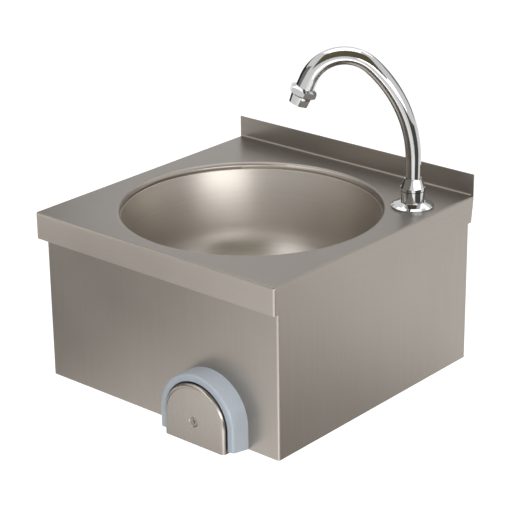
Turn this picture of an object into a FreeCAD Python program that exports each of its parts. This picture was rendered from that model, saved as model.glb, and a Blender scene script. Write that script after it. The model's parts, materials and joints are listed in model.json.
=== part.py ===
import FreeCAD, Part
import math
import os

import Sketcher

# Wall-hung stainless steel hand wash sink with a knee-operated valve and a
# swan-neck spout.
# Frame: +Z up, +X to the right seen from the front, +Y into the wall.
# The wall is the plane y = 0 and the origin is midway between the two screw
# holes of the wall bracket, on the wall.

doc = FreeCAD.newDocument("HandWashSink")
sheet = doc.addObject("Spreadsheet::Sheet", "Sizes")
sheet_rows = []
sub_parts = []


# ---------------------------------------------------------------- sizes

class Size:
    """A number and the sheet expression that gives it."""

    def __init__(self, value, text):
        self.value = float(value)
        self.text = text

    def __add__(self, other):
        other = as_size(other)
        return Size(self.value + other.value, "(%s + %s)" % (self.text, other.text))

    def __radd__(self, other):
        return as_size(other) + self

    def __sub__(self, other):
        other = as_size(other)
        return Size(self.value - other.value, "(%s - %s)" % (self.text, other.text))

    def __rsub__(self, other):
        return as_size(other) - self

    def __mul__(self, other):
        other = as_size(other)
        return Size(self.value * other.value, "(%s * %s)" % (self.text, other.text))

    def __rmul__(self, other):
        return as_size(other) * self

    def __truediv__(self, other):
        other = as_size(other)
        return Size(self.value / other.value, "(%s / %s)" % (self.text, other.text))

    def __neg__(self):
        return Size(-self.value, "(0 - %s)" % self.text)

    def __float__(self):
        return self.value


def as_size(number):
    """Wrap a plain number."""
    if isinstance(number, Size):
        return number
    return Size(number, "(%r)" % float(number))


def size(name, number):
    """Put a driving dimension in the sheet and return it."""
    row = len(sheet_rows) + 1
    sheet.set("A%d" % row, name)
    sheet.set("B%d" % row, repr(number))
    sheet.setAlias("B%d" % row, name)
    sheet_rows.append(name)
    return Size(number, "Sizes.%s" % name)


def sine(angle):
    """Sine of an angle in degrees."""
    angle = as_size(angle)
    return Size(math.sin(math.radians(angle.value)), "sin(%s)" % angle.text)


def cosine(angle):
    """Cosine of an angle in degrees."""
    angle = as_size(angle)
    return Size(math.cos(math.radians(angle.value)), "cos(%s)" % angle.text)


def smaller(first, second):
    """The smaller of two sizes."""
    return Size(min(first.value, second.value), "min(%s; %s)" % (first.text, second.text))


# The sheet-metal box
width = size("width", 400)
depth = size("depth", 400)
apron_height = size("apron_height", 36)
splash_height = size("splash_height", 29)
steel = size("steel", 1.2)
bend_radius = size("bend_radius", 3)
splash_foot_radius = size("splash_foot_radius", 2.5)
apron_rake = size("apron_rake", 4)
skirt_side_inset = size("skirt_side_inset", 5.4)
skirt_front_inset = size("skirt_front_inset", 12.5)
skirt_wall_gap = size("skirt_wall_gap", 3)
skirt_return = size("skirt_return", 15)
skirt_back_flange = size("skirt_back_flange", 18)
rim_height = size("rim_height", 45)
# Cuts run this far past the face they open
overrun = size("overrun", 1)
# How far the corners of large and small nuts are turned off
nut_chamfer = size("nut_chamfer", 1.2)
small_nut_chamfer = size("small_nut_chamfer", 0.6)

# The bowl, as wide as the top takes with its lip this far from the edges
lip_front_margin = size("lip_front_margin", 16.75)
lip_back_margin = size("lip_back_margin", 35.75)
lip_side_margin = size("lip_side_margin", 26.25)
lip_roll = size("lip_roll", 5.5)
collar_depth = size("collar_depth", 8.5)
ledge_width = size("ledge_width", 0.4)
bowl_flange = size("bowl_flange", 3.5)
bowl_depth = size("bowl_depth", 150)
bowl_floor_radius = size("bowl_floor_radius", 138)
bowl_floor_fall = size("bowl_floor_fall", 7)
bowl_corner_radius = size("bowl_corner_radius", 78)
bowl_edge_radius = size("bowl_edge_radius", 0.8)

# The waste fitting
waste_flange_radius = size("waste_flange_radius", 43)
waste_flange_thickness = size("waste_flange_thickness", 1.5)
waste_gasket_thickness = size("waste_gasket_thickness", 1.5)
waste_gasket_set_back = size("waste_gasket_set_back", 1)
drain_clearance = size("drain_clearance", 0.5)
waste_seal_thickness = size("waste_seal_thickness", 2.5)
waste_cup_radius = size("waste_cup_radius", 33)
waste_cup_depth = size("waste_cup_depth", 11)
waste_body_flange = size("waste_body_flange", 4)
waste_body_wall = size("waste_body_wall", 3)
waste_cup_room = size("waste_cup_room", 1)
waste_body_depth = size("waste_body_depth", 22)
waste_cone_height = size("waste_cone_height", 12)
waste_tail_radius = size("waste_tail_radius", 23.9)
waste_tail_wall = size("waste_tail_wall", 3.4)
waste_tail_length = size("waste_tail_length", 24)
waste_boss_radius = size("waste_boss_radius", 7)
waste_boss_length = size("waste_boss_length", 14)
waste_rib_thickness = size("waste_rib_thickness", 3)
waste_screw_radius = size("waste_screw_radius", 3)
waste_screw_head = size("waste_screw_head", 6)
waste_screw_dome = size("waste_screw_dome", 3)
strainer_hole_radius = size("strainer_hole_radius", 3)
strainer_inner_ring = size("strainer_inner_ring", 12.5)
strainer_outer_ring = size("strainer_outer_ring", 24)
strainer_inner_holes = 6
strainer_outer_holes = 12

# Hanging on the wall
bracket_end_inset = size("bracket_end_inset", 50)
bracket_steel = size("bracket_steel", 2)
bracket_drop = size("bracket_drop", 25)
bracket_rise = size("bracket_rise", 20)
hook_gap = size("hook_gap", 4)
hook_height = size("hook_height", 13)
wall_hole_inset = size("wall_hole_inset", 20)
wall_hole_radius = size("wall_hole_radius", 4.25)
rail_end_inset = size("rail_end_inset", 40)
rail_steel = size("rail_steel", 2)
rail_flange = size("rail_flange", 30)
rail_wall_gap = size("rail_wall_gap", 1.2)
pad_radius = size("pad_radius", 7)
pad_height = size("pad_height", 25)

# The knee push and its valve: stations are measured from the panel's face
knee_x = size("knee_x", 86)
knee_drop = size("knee_drop", 200)
guard_radius = size("guard_radius", 60)
guard_wall = size("guard_wall", 9.5)
guard_depth = size("guard_depth", 28)
guard_floor = size("guard_floor", 2.5)
guard_leg = size("guard_leg", 30.5)
guard_leg_rise = size("guard_leg_rise", 5)
guard_edge_radius = size("guard_edge_radius", 3.5)
guard_inner_edge_radius = size("guard_inner_edge_radius", 1.5)
cap_gap = size("cap_gap", 1.6)
cap_front = size("cap_front", 33)
cap_floor_room = size("cap_floor_room", 2.5)
cap_edge_radius = size("cap_edge_radius", 5)
cap_leg = size("cap_leg", 30)
core_plate = size("core_plate", 4)
core_gap = size("core_gap", 0.3)
core_boss_length = size("core_boss_length", 4)
core_boss_radius = size("core_boss_radius", 19)
push_travel = size("push_travel", 8)
rod_radius = size("rod_radius", 5)
rod_socket = size("rod_socket", 3)
rod_neck_radius = size("rod_neck_radius", 4.2)
rod_thread_radius = size("rod_thread_radius", 3)
rod_neck_room = size("rod_neck_room", 5)
cap_screw_radius = size("cap_screw_radius", 2.5)
cap_screw_head = size("cap_screw_head", 5.6)
cap_screw_length = size("cap_screw_length", 12)
cap_screw_sink = size("cap_screw_sink", 0.1)
cap_screw_end_room = size("cap_screw_end_room", 1)
cap_dimple_flare = size("cap_dimple_flare", 1.4)
thread_fit = size("thread_fit", 0.05)
running_fit = size("running_fit", 0.06)
spigot_radius = size("spigot_radius", 13)
spigot_length = size("spigot_length", 12)
panel_nut_flats = size("panel_nut_flats", 34)
panel_nut_height = size("panel_nut_height", 6)
valve_plate_thickness = size("valve_plate_thickness", 2)
valve_plate_width = size("valve_plate_width", 80)
valve_plate_height = size("valve_plate_height", 44)
shoulder_radius = size("shoulder_radius", 18)
shoulder_length = size("shoulder_length", 5)
barrel_radius = size("barrel_radius", 16)
guide_end = size("guide_end", 20)
outlet_chamber_radius = size("outlet_chamber_radius", 10)
seat_front = size("seat_front", 46)
seat_face = size("seat_face", 50)
seat_radius = size("seat_radius", 6.5)
inlet_chamber_radius = size("inlet_chamber_radius", 12)
barrel_end = size("barrel_end", 74)
seal_wire = size("seal_wire", 1.05)
seal_side_room = size("seal_side_room", 0.3)
seal_spacing = size("seal_spacing", 10)
seat_washer_radius = size("seat_washer_radius", 9.5)
seat_washer_thickness = size("seat_washer_thickness", 2)
seat_disc_thickness = size("seat_disc_thickness", 3)
stem_nut_flats = size("stem_nut_flats", 10)
stem_nut_height = size("stem_nut_height", 4)
stem_end_room = size("stem_end_room", 2)
spring_wire = size("spring_wire", 0.8)
spring_radius = size("spring_radius", 15.5)
spring_turns = size("spring_turns", 3)
coil_room = size("coil_room", 0.02)
guard_screw_radius = size("guard_screw_radius", 1.75)
guard_screw_head = size("guard_screw_head", 3.5)
guard_screw_head_height = size("guard_screw_head_height", 2.4)
guard_screw_length = size("guard_screw_length", 14)
guard_screw_angle = size("guard_screw_angle", 38)

# Pipe joints share one half-inch thread
half_inch = size("half_inch", 10.48)
outlet_station = size("outlet_station", 33)
outlet_height = size("outlet_height", 28)
outlet_bore = size("outlet_bore", 5.5)
pipe_radius = size("pipe_radius", 5)
pipe_wall = size("pipe_wall", 1)
pipe_entry = size("pipe_entry", 5)
pipe_rise = size("pipe_rise", 32)
pipe_bend = size("pipe_bend", 25)
pipe_nut_flats = size("pipe_nut_flats", 24)
pipe_nut_grip = size("pipe_nut_grip", 7)
pipe_nut_lip = size("pipe_nut_lip", 3)
olive_radius = size("olive_radius", 8)
olive_length = size("olive_length", 3)

# The mixing tee and its non-return valves
tee_nipple = size("tee_nipple", 9)
tee_bore = size("tee_bore", 9)
tee_gasket_thickness = size("tee_gasket_thickness", 1.5)
tee_collar = size("tee_collar", 4)
tee_barrel_radius = size("tee_barrel_radius", 14.5)
tee_arm_station = size("tee_arm_station", 14.5)
tee_end_wall = size("tee_end_wall", 5)
tee_arm_radius = size("tee_arm_radius", 12.5)
tee_arm_length = size("tee_arm_length", 36)
tee_port_x = size("tee_port_x", 22)
tee_port_length = size("tee_port_length", 24)
tee_cross_bore = size("tee_cross_bore", 7)
check_nipple = size("check_nipple", 10)
check_nipple_radius = size("check_nipple_radius", 9.5)
check_hex_flats = size("check_hex_flats", 24)
check_hex_length = size("check_hex_length", 8)
check_thread_length = size("check_thread_length", 16)
check_bore = size("check_bore", 7.5)
check_seat_bore = size("check_seat_bore", 4.5)
check_seat_thickness = size("check_seat_thickness", 3)
check_chamber = size("check_chamber", 24)
check_guide_start = size("check_guide_start", 2)
check_guide_length = size("check_guide_length", 3)
check_guide_ring = size("check_guide_ring", 1.6)
check_guide_hub = size("check_guide_hub", 3)
check_guide_arm = size("check_guide_arm", 1.6)
poppet_radius = size("poppet_radius", 6.3)
poppet_thickness = size("poppet_thickness", 3)
poppet_stem_radius = size("poppet_stem_radius", 1.5)
poppet_stem_tail = size("poppet_stem_tail", 1)
check_spring_wire = size("check_spring_wire", 0.4)
check_spring_radius = size("check_spring_radius", 4.2)
check_spring_turns = size("check_spring_turns", 4)

# The tap: its axis and its column, measured from the deck
tap_side_inset = size("tap_side_inset", 39.3)
tap_from_wall = size("tap_from_wall", 80)
tap_hole_clearance = size("tap_hole_clearance", 0.5)
tap_flange_radius = size("tap_flange_radius", 27.5)
tap_flange_height = size("tap_flange_height", 7)
tap_flange_shoulder = size("tap_flange_shoulder", 4.2)
tap_flange_land = size("tap_flange_land", 1)
tap_flange_rim = size("tap_flange_rim", 2.2)
tap_flange_lip = size("tap_flange_lip", 3.3)
tap_gasket_thickness = size("tap_gasket_thickness", 1)
tap_column_radius = size("tap_column_radius", 15.25)
tap_column_top = size("tap_column_top", 21.5)
tap_neck_radius = size("tap_neck_radius", 13)
tap_neck_top = size("tap_neck_top", 27.5)
tap_bore_floor = size("tap_bore_floor", 9)
tap_water_bore = size("tap_water_bore", 5.5)
tap_shank_end = size("tap_shank_end", 55)
tap_washer_radius = size("tap_washer_radius", 20)
tap_washer_thickness = size("tap_washer_thickness", 2)
tap_backnut_flats = size("tap_backnut_flats", 30)
tap_backnut_height = size("tap_backnut_height", 8)
swivel_nut_radius = size("swivel_nut_radius", 15.7)
swivel_nut_flats = size("swivel_nut_flats", 30)
swivel_nut_foot = size("swivel_nut_foot", 0.4)
swivel_nut_straight = size("swivel_nut_straight", 4.5)
swivel_nut_height = size("swivel_nut_height", 16.2)
swivel_nut_top_radius = size("swivel_nut_top_radius", 11.2)
swivel_nut_top_flats = size("swivel_nut_top_flats", 21)
spout_ring_thickness = size("spout_ring_thickness", 2.4)
spout_ring_play = size("spout_ring_play", 0.1)
spout_seal_wire = size("spout_seal_wire", 0.95)
spout_seal_first = size("spout_seal_first", 13)
spout_seal_spacing = size("spout_seal_spacing", 5)
spout_seal_count = 2

# The swan neck
spout_heading = size("spout_heading", 216)
spout_radius = size("spout_radius", 9.7)
spout_end_radius = size("spout_end_radius", 12.2)
spout_wall = size("spout_wall", 1.4)
spout_foot_room = size("spout_foot_room", 2.5)
spout_taper_start = size("spout_taper_start", 45)
spout_straight = size("spout_straight", 61)
spout_rise_radius = size("spout_rise_radius", 169)
spout_rise_angle = size("spout_rise_angle", 47)
spout_top_radius = size("spout_top_radius", 49)
spout_top_angle = size("spout_top_angle", 110.5)
spout_tip = size("spout_tip", 16)
nozzle_flats = size("nozzle_flats", 32.5)
nozzle_length = size("nozzle_length", 11.5)
nozzle_lip = size("nozzle_lip", 0.6)
nozzle_cone = size("nozzle_cone", 3.5)
nozzle_overlap = size("nozzle_overlap", 4)
aerator_top_radius = size("aerator_top_radius", 13.6)
aerator_radius = size("aerator_radius", 12.4)
aerator_length = size("aerator_length", 12)
aerator_wall = size("aerator_wall", 1.6)
aerator_flat = size("aerator_flat", 11.7)
aerator_flat_start = size("aerator_flat_start", 3)
aerator_thread = size("aerator_thread", 5)
insert_recess = size("insert_recess", 1)
insert_length = size("insert_length", 8)
insert_hole_radius = size("insert_hole_radius", 0.9)
insert_hole_ring = size("insert_hole_ring", 6)
insert_holes = 12
aerator_washer_thickness = size("aerator_washer_thickness", 1.5)
aerator_washer_ledge = size("aerator_washer_ledge", 2)

# Places that follow from the sizes
panel_y = -(depth - skirt_front_inset)
skirt_half = width / 2 - skirt_side_inset
skirt_height = knee_drop + guard_leg
bracket_half_length = width / 2 - bracket_end_inset
rail_half_length = width / 2 - rail_end_inset
lip_radius = smaller(width / 2 - lip_side_margin, (depth - lip_front_margin - lip_back_margin) / 2)
bowl_from_wall = depth - lip_front_margin - lip_radius
tap_x = width / 2 - tap_side_inset
deck_under = -steel
valve_seat_depth = steel + valve_plate_thickness
guard_inner = guard_radius - guard_wall
cap_radius = guard_inner - cap_gap
cap_back = guard_floor + cap_floor_room + push_travel
collar_inner = lip_radius - lip_roll
collar_outer = collar_inner + steel
bowl_mouth = collar_inner - ledge_width
drain_radius = waste_flange_radius + drain_clearance
drain_recess = waste_flange_thickness + waste_gasket_thickness
recess_floor = -(bowl_depth + drain_recess)
waste_hole_radius = waste_cup_radius + waste_cup_room
tee_face = barrel_end + tee_gasket_thickness
tee_arm_centre = tee_face + tee_arm_station
tee_arm_y = panel_y + tee_arm_centre
check_end = tee_port_length + check_hex_length + check_thread_length
check_start = tee_port_length - check_nipple
check_seat = check_start + check_chamber
check_guide = check_start + check_guide_start
rod_neck_start = guide_end + rod_neck_room
rod_end = seat_face + seat_washer_thickness + seat_disc_thickness + stem_nut_height + stem_end_room
core_back = cap_front - steel - core_plate - core_boss_length
nut_front = guard_floor + panel_nut_height
spout_turn = spout_rise_angle + spout_top_angle
spout_bore = spout_radius + running_fit
aerator_start = nozzle_length - aerator_thread
aerator_neck = aerator_radius - aerator_wall


# ---------------------------------------------------------------- frames

def number(value):
    """The plain value of a size or a number."""
    return float(value)


def vector(x, y, z):
    """A FreeCAD vector from sizes or numbers."""
    return FreeCAD.Vector(number(x), number(y), number(z))


class Frame:
    """A place and a rotation for sub-parts that share an axis."""

    def __init__(self, x, y, z, axis=(0, 0, 1), angle=0):
        self.x = as_size(x)
        self.y = as_size(y)
        self.z = as_size(z)
        self.rotation = FreeCAD.Rotation(vector(*axis), number(angle))

    def place(self, item):
        """Set an object's Placement and bind its origin to the sheet."""
        item.Placement = FreeCAD.Placement(vector(self.x, self.y, self.z), self.rotation)
        item.setExpression("Placement.Base.x", self.x.text)
        item.setExpression("Placement.Base.y", self.y.text)
        item.setExpression("Placement.Base.z", self.z.text)


wall_frame = Frame(0, 0, 0)
deck_frame = Frame(0, 0, rim_height)
bowl_frame = Frame(0, -bowl_from_wall, rim_height)
tap_frame = Frame(tap_x, -tap_from_wall, rim_height)
# Local +Z points out of the front panel, local +Y points up
knee_frame = Frame(knee_x, panel_y, rim_height - knee_drop, (1, 0, 0), 90)
# Local +Z points back from the tee along each port
cold_frame = Frame(knee_x + tee_port_x, tee_arm_y, rim_height - knee_drop, (1, 0, 0), -90)
hot_frame = Frame(knee_x - tee_port_x, tee_arm_y, rim_height - knee_drop, (1, 0, 0), -90)
# Local +Z points up through the valve's outlet
outlet_frame = Frame(knee_x, panel_y + outlet_station, rim_height - knee_drop)

# The swan neck lies in one upright plane: reach along the heading, height in z
rise_reach = spout_rise_radius * (1 - cosine(spout_rise_angle))
rise_height = spout_straight + spout_rise_radius * sine(spout_rise_angle)
top_reach = rise_reach + spout_top_radius * (cosine(spout_rise_angle) - cosine(spout_turn))
top_height = rise_height + spout_top_radius * (sine(spout_turn) - sine(spout_rise_angle))
tip_reach = top_reach + spout_tip * sine(spout_turn)
tip_height = top_height + spout_tip * cosine(spout_turn)
# The nozzle's frame starts where the collar takes the tube's end
nozzle_reach = tip_reach - nozzle_overlap * sine(spout_turn)
nozzle_height = tip_height - nozzle_overlap * cosine(spout_turn)
nozzle_frame = Frame(
    tap_x + nozzle_reach * cosine(spout_heading),
    -tap_from_wall + nozzle_reach * sine(spout_heading),
    rim_height + nozzle_height,
    (-sine(spout_heading), cosine(spout_heading), 0),
    spout_turn,
)


# ---------------------------------------------------------------- building blocks

def new_body(label, frame):
    """A PartDesign body in its frame, kept as a sub-part."""
    body = doc.addObject("PartDesign::Body", label)
    body.Label = label
    frame.place(body)
    sub_parts.append(body)
    return body


def new_sketch(body, name, plane, offset=0):
    """A sketch on one of the body's own origin planes."""
    sketch = body.newObject("Sketcher::SketchObject", name)
    for feature in body.Origin.OriginFeatures:
        if feature.Role == plane:
            sketch.AttachmentSupport = (feature, "")
    sketch.MapMode = "FlatFace"
    offset = as_size(offset)
    sketch.AttachmentOffset = FreeCAD.Placement(vector(0, 0, offset), FreeCAD.Rotation())
    sketch.setExpression("AttachmentOffset.Base.z", offset.text)
    return sketch


def fix_point(sketch, geometry, point, x, y):
    """Hold one point of a sketch at bound distances from the origin."""
    for kind, value in (("DistanceX", as_size(x)), ("DistanceY", as_size(y))):
        index = sketch.addConstraint(
            Sketcher.Constraint(kind, -1, 1, geometry, point, value.value))
        sketch.setExpression("Constraints[%d]" % index, value.text)


def add_polygon(sketch, points):
    """A closed outline of straight lines through bound points."""
    corners = [vector(x, y, 0) for x, y in points]
    first = len(sketch.Geometry)
    count = len(corners)
    for i in range(count):
        sketch.addGeometry(Part.LineSegment(corners[i], corners[(i + 1) % count]), False)
    for i in range(count):
        following = first + (i + 1) % count
        sketch.addConstraint(Sketcher.Constraint("Coincident", first + i, 2, following, 1))
    for i in range(count):
        fix_point(sketch, first + i, 1, points[i][0], points[i][1])


def add_rectangle(sketch, left, bottom, right, top):
    """A rectangle with bound sides."""
    add_polygon(sketch, [(left, bottom), (right, bottom), (right, top), (left, top)])


def add_circle(sketch, x, y, radius):
    """A circle with a bound centre and radius."""
    radius = as_size(radius)
    axis = FreeCAD.Vector(0, 0, 1)
    circle = sketch.addGeometry(Part.Circle(vector(x, y, 0), axis, radius.value), False)
    fix_point(sketch, circle, 3, x, y)
    index = sketch.addConstraint(Sketcher.Constraint("Radius", circle, radius.value))
    sketch.setExpression("Constraints[%d]" % index, radius.text)


def add_arch(sketch, radius, leg):
    """A half circle above the X axis on two straight legs."""
    radius = as_size(radius)
    leg = as_size(leg)
    r = radius.value
    low = -leg.value
    centre = Part.Circle(FreeCAD.Vector(), FreeCAD.Vector(0, 0, 1), r)
    arc = sketch.addGeometry(Part.ArcOfCircle(centre, 0, math.pi), False)
    corners = [(-r, 0), (-r, low), (r, low), (r, 0)]
    lines = []
    for start, end in zip(corners, corners[1:]):
        segment = Part.LineSegment(vector(*start, 0), vector(*end, 0))
        lines.append(sketch.addGeometry(segment, False))
    sketch.addConstraint(Sketcher.Constraint("Coincident", arc, 3, -1, 1))
    sketch.addConstraint(Sketcher.Constraint("Coincident", arc, 2, lines[0], 1))
    sketch.addConstraint(Sketcher.Constraint("Coincident", lines[0], 2, lines[1], 1))
    sketch.addConstraint(Sketcher.Constraint("Coincident", lines[1], 2, lines[2], 1))
    sketch.addConstraint(Sketcher.Constraint("Coincident", lines[2], 2, arc, 1))
    fix_point(sketch, lines[0], 1, -radius, 0)
    fix_point(sketch, lines[0], 2, -radius, -leg)
    fix_point(sketch, lines[1], 2, radius, -leg)
    index = sketch.addConstraint(Sketcher.Constraint("DistanceY", -1, 1, lines[2], 2, 0))
    sketch.setExpression("Constraints[%d]" % index, "0")


def add_corner_fill(sketch, x, y, radius):
    """The fill of an inside corner: two legs and a hollow arc."""
    r = number(radius)
    left = number(x) - r
    top = number(y) + r
    first = sketch.addGeometry(Part.LineSegment(vector(left, y, 0), vector(x, y, 0)), False)
    second = sketch.addGeometry(Part.LineSegment(vector(x, y, 0), vector(x, top, 0)), False)
    whole = Part.Circle(vector(left, top, 0), FreeCAD.Vector(0, 0, 1), r)
    arc = sketch.addGeometry(Part.ArcOfCircle(whole, 1.5 * math.pi, 2 * math.pi), False)
    sketch.addConstraint(Sketcher.Constraint("Coincident", first, 2, second, 1))
    sketch.addConstraint(Sketcher.Constraint("Coincident", second, 2, arc, 2))
    sketch.addConstraint(Sketcher.Constraint("Coincident", arc, 1, first, 1))
    fix_point(sketch, first, 1, x - radius, y)
    fix_point(sketch, first, 2, x, y)
    fix_point(sketch, second, 2, x, y + radius)
    index = sketch.addConstraint(Sketcher.Constraint("Radius", arc, r))
    sketch.setExpression("Constraints[%d]" % index, radius.text)


def hexagon(flats):
    """Corner points of a hexagon with flats facing up and down."""
    corner = as_size(flats) / (2 * cosine(30))
    return [(corner * cosine(60 * i), corner * sine(60 * i)) for i in range(6)]


def settle(body, feature):
    """Make a feature the body's tip and stop if it failed."""
    body.Tip = feature
    doc.recompute()
    if not feature.isValid() or not feature.Shape.isValid():
        raise ValueError("%s of %s failed: %s" % (feature.Name, body.Label, feature.State))
    return feature


def extrude(body, kind, sketch, length, reversed_way, name):
    """A pad or a pocket of a bound length."""
    length = as_size(length)
    feature = body.newObject(kind, name)
    feature.Profile = sketch
    feature.Length = length.value
    feature.setExpression("Length", length.text)
    feature.Reversed = reversed_way
    return settle(body, feature)


def pad(body, sketch, length, name="pad"):
    """Add material above a sketch."""
    return extrude(body, "PartDesign::Pad", sketch, length, False, name)


def pocket(body, sketch, length, name="pocket", forward=True):
    """Take material away in front of a sketch, or behind it."""
    before = body.Shape.Volume
    feature = extrude(body, "PartDesign::Pocket", sketch, length, forward, name)
    if body.Shape.Volume >= before - 1e-6:
        raise ValueError("%s of %s cuts nothing" % (name, body.Label))
    return feature


def revolve(body, kind, sketch, name):
    """Turn a profile about the sketch's upright axis."""
    feature = body.newObject(kind, name)
    feature.Profile = sketch
    feature.ReferenceAxis = (sketch, ["V_Axis"])
    feature.Angle = 360
    return settle(body, feature)


def turn(body, points, name="turned", offset=0):
    """Add a turned ring or disc from (radius, height) points."""
    sketch = new_sketch(body, name + "_profile", "XZ_Plane", offset)
    add_polygon(sketch, points)
    return revolve(body, "PartDesign::Revolution", sketch, name)


def groove(body, points, name="groove", offset=0):
    """Turn material away along (radius, height) points."""
    before = body.Shape.Volume
    sketch = new_sketch(body, name + "_profile", "XZ_Plane", offset)
    add_polygon(sketch, points)
    feature = revolve(body, "PartDesign::Groove", sketch, name)
    if body.Shape.Volume >= before - 1e-6:
        raise ValueError("%s of %s cuts nothing" % (name, body.Label))
    return feature


def box_points(inner, low, outer, high):
    """A rectangular (radius, height) profile."""
    return [(inner, low), (outer, low), (outer, high), (inner, high)]


def turned_part(label, frame, points):
    """A sub-part that is one turned profile."""
    body = new_body(label, frame)
    turn(body, points)
    return body


def round_edges(body, radius, test, name="round"):
    """Round the body's edges that pass a test."""
    radius = as_size(radius)
    base = body.Tip
    names = []
    for i, edge in enumerate(base.Shape.Edges):
        if not edge.Degenerated and test(edge):
            names.append("Edge%d" % (i + 1))
    if not names:
        raise ValueError("no edge for %s of %s" % (name, body.Label))
    feature = body.newObject("PartDesign::Fillet", name)
    feature.Base = (base, names)
    feature.Radius = radius.value
    feature.setExpression("Radius", radius.text)
    return settle(body, feature)


def close(first, second, slack=0.02):
    """Whether two lengths agree."""
    return abs(number(first) - number(second)) < slack


def ring_edge(radius, height, x=0, y=0):
    """Test for a circle about an upright axis through (x, y)."""
    def test(edge):
        curve = edge.Curve
        if not isinstance(curve, Part.Circle):
            return False
        if abs(curve.Axis.z) < 0.99 or not close(curve.Radius, radius):
            return False
        centre = curve.Center
        return close(centre.z, height) and close(centre.x, x) and close(centre.y, y)
    return test


def straight_edge(x=None, y=None, z=None):
    """Test for a straight edge that lies at the given coordinates."""
    def test(edge):
        if not isinstance(edge.Curve, Part.Line):
            return False
        for vertex in edge.Vertexes:
            for wanted, found in ((x, vertex.X), (y, vertex.Y), (z, vertex.Z)):
                if wanted is not None and not close(wanted, found):
                    return False
        return True
    return test


def any_of(*tests):
    """Test that passes where one of several does."""
    return lambda edge: any(test(edge) for test in tests)


def polar(body, sketch, original, count, name):
    """Repeat a feature round the axis of its sketch."""
    pattern = body.newObject("PartDesign::PolarPattern", name)
    pattern.Originals = [original]
    pattern.Axis = (sketch, ["N_Axis"])
    pattern.Angle = 360
    pattern.Occurrences = count
    return settle(body, pattern)


def cut_cone(body, narrow, end, wide, start, name):
    """Turn away what stands outside the cone from (wide, start) to (narrow, end)."""
    lean = overrun * (start - end) / (wide - narrow)
    past = end + overrun if number(end) > number(start) else end - overrun
    rim = wide + overrun
    groove(body, [(narrow, end), (rim, start + lean), (rim, past), (narrow, past)], name)


def hex_nut(label, frame, flats, low, height, bore, chamfer=nut_chamfer):
    """A hexagon nut with its corners turned off at both ends."""
    body = new_body(label, frame)
    sketch = new_sketch(body, "hexagon", "XY_Plane", low)
    add_polygon(sketch, hexagon(flats))
    pad(body, sketch, height)
    hole = new_sketch(body, "bore", "XY_Plane", low)
    add_circle(hole, 0, 0, bore)
    pocket(body, hole, height, "bored")
    chamfer_corners(body, flats, low, low + height, chamfer)
    return body


def chamfer_corners(body, flats, low, high, chamfer):
    """Turn the corners off a hexagon between two heights."""
    corner = flats / (2 * cosine(30))
    cut_cone(body, flats / 2, high, corner, high - chamfer, "top_chamfer")
    cut_cone(body, flats / 2, low, corner, low + chamfer, "foot_chamfer")


def shape_part(label, shape, frame):
    """A sub-part whose shape is made by Part's own functions."""
    feature = doc.addObject("Part::Feature", label)
    feature.Label = label
    feature.Shape = shape
    frame.place(feature)
    sub_parts.append(feature)
    return feature


def group_part(label, members):
    """One sub-part made of several identical solids."""
    group = doc.addObject("Part::Compound", label)
    group.Label = label
    group.Links = members
    for member in members:
        sub_parts.remove(member)
    sub_parts.append(group)
    return group


def ring_seal(label, frame, ring_radius, wire_radius, height):
    """An O-ring about the frame's axis."""
    torus = doc.addObject("Part::Torus", label)
    torus.Label = label
    ring_radius = as_size(ring_radius)
    wire_radius = as_size(wire_radius)
    torus.setExpression("Radius1", ring_radius.text)
    torus.setExpression("Radius2", wire_radius.text)
    offset = frame.rotation.multVec(FreeCAD.Vector(0, 0, 1))
    height = as_size(height)
    raised = Frame(frame.x + height * round(offset.x, 6),
                   frame.y + height * round(offset.y, 6),
                   frame.z + height * round(offset.z, 6))
    raised.rotation = frame.rotation
    raised.place(torus)
    sub_parts.append(torus)
    return torus


def arc_between(start, corner, end):
    """The arc tangent to start-corner and corner-end, both runs alike."""
    chord_middle = (start + end) * 0.5
    half_chord = (end - start).Length / 2
    slope = (corner - start).getAngle(end - start)
    rise = half_chord * math.tan(slope / 2)
    toward = (corner - chord_middle).normalize()
    return Part.Arc(start, chord_middle + toward * rise, end).toShape()


def helix_path(radius, pitch, turns, low):
    """A helix of biarcs, a quarter turn each."""
    steps = int(round(turns * 4))
    rise = pitch / (2 * math.pi)

    def point(angle):
        return vector(radius * math.cos(angle), radius * math.sin(angle), low + rise * angle)

    def tangent(angle):
        return vector(-radius * math.sin(angle), radius * math.cos(angle), rise).normalize()

    edges = []
    for i in range(steps):
        a = i * math.pi / 2
        b = a + math.pi / 2
        chord = point(b) - point(a)
        both = tangent(a) + tangent(b)
        bend = 2 * (1 - tangent(a).dot(tangent(b)))
        reach = chord.dot(both)
        arm = (math.sqrt(reach * reach + bend * chord.dot(chord)) - reach) / bend
        first = point(a) + tangent(a) * arm
        second = point(b) - tangent(b) * arm
        middle = (first + second) * 0.5
        edges.append(arc_between(point(a), first, middle))
        edges.append(arc_between(middle, second, point(b)))
    return Part.Wire(edges)


def coil_gap(path, wire_radius, turns):
    """The least gap between the turns of a coil, measured on points."""
    points = path.discretize(int(turns * 24) + 1)
    least = None
    for i, first in enumerate(points):
        for second in points[i + 18:]:
            gap = first.distanceToPoint(second) - 2 * wire_radius
            if least is None or gap < least:
                least = gap
    return least


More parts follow.
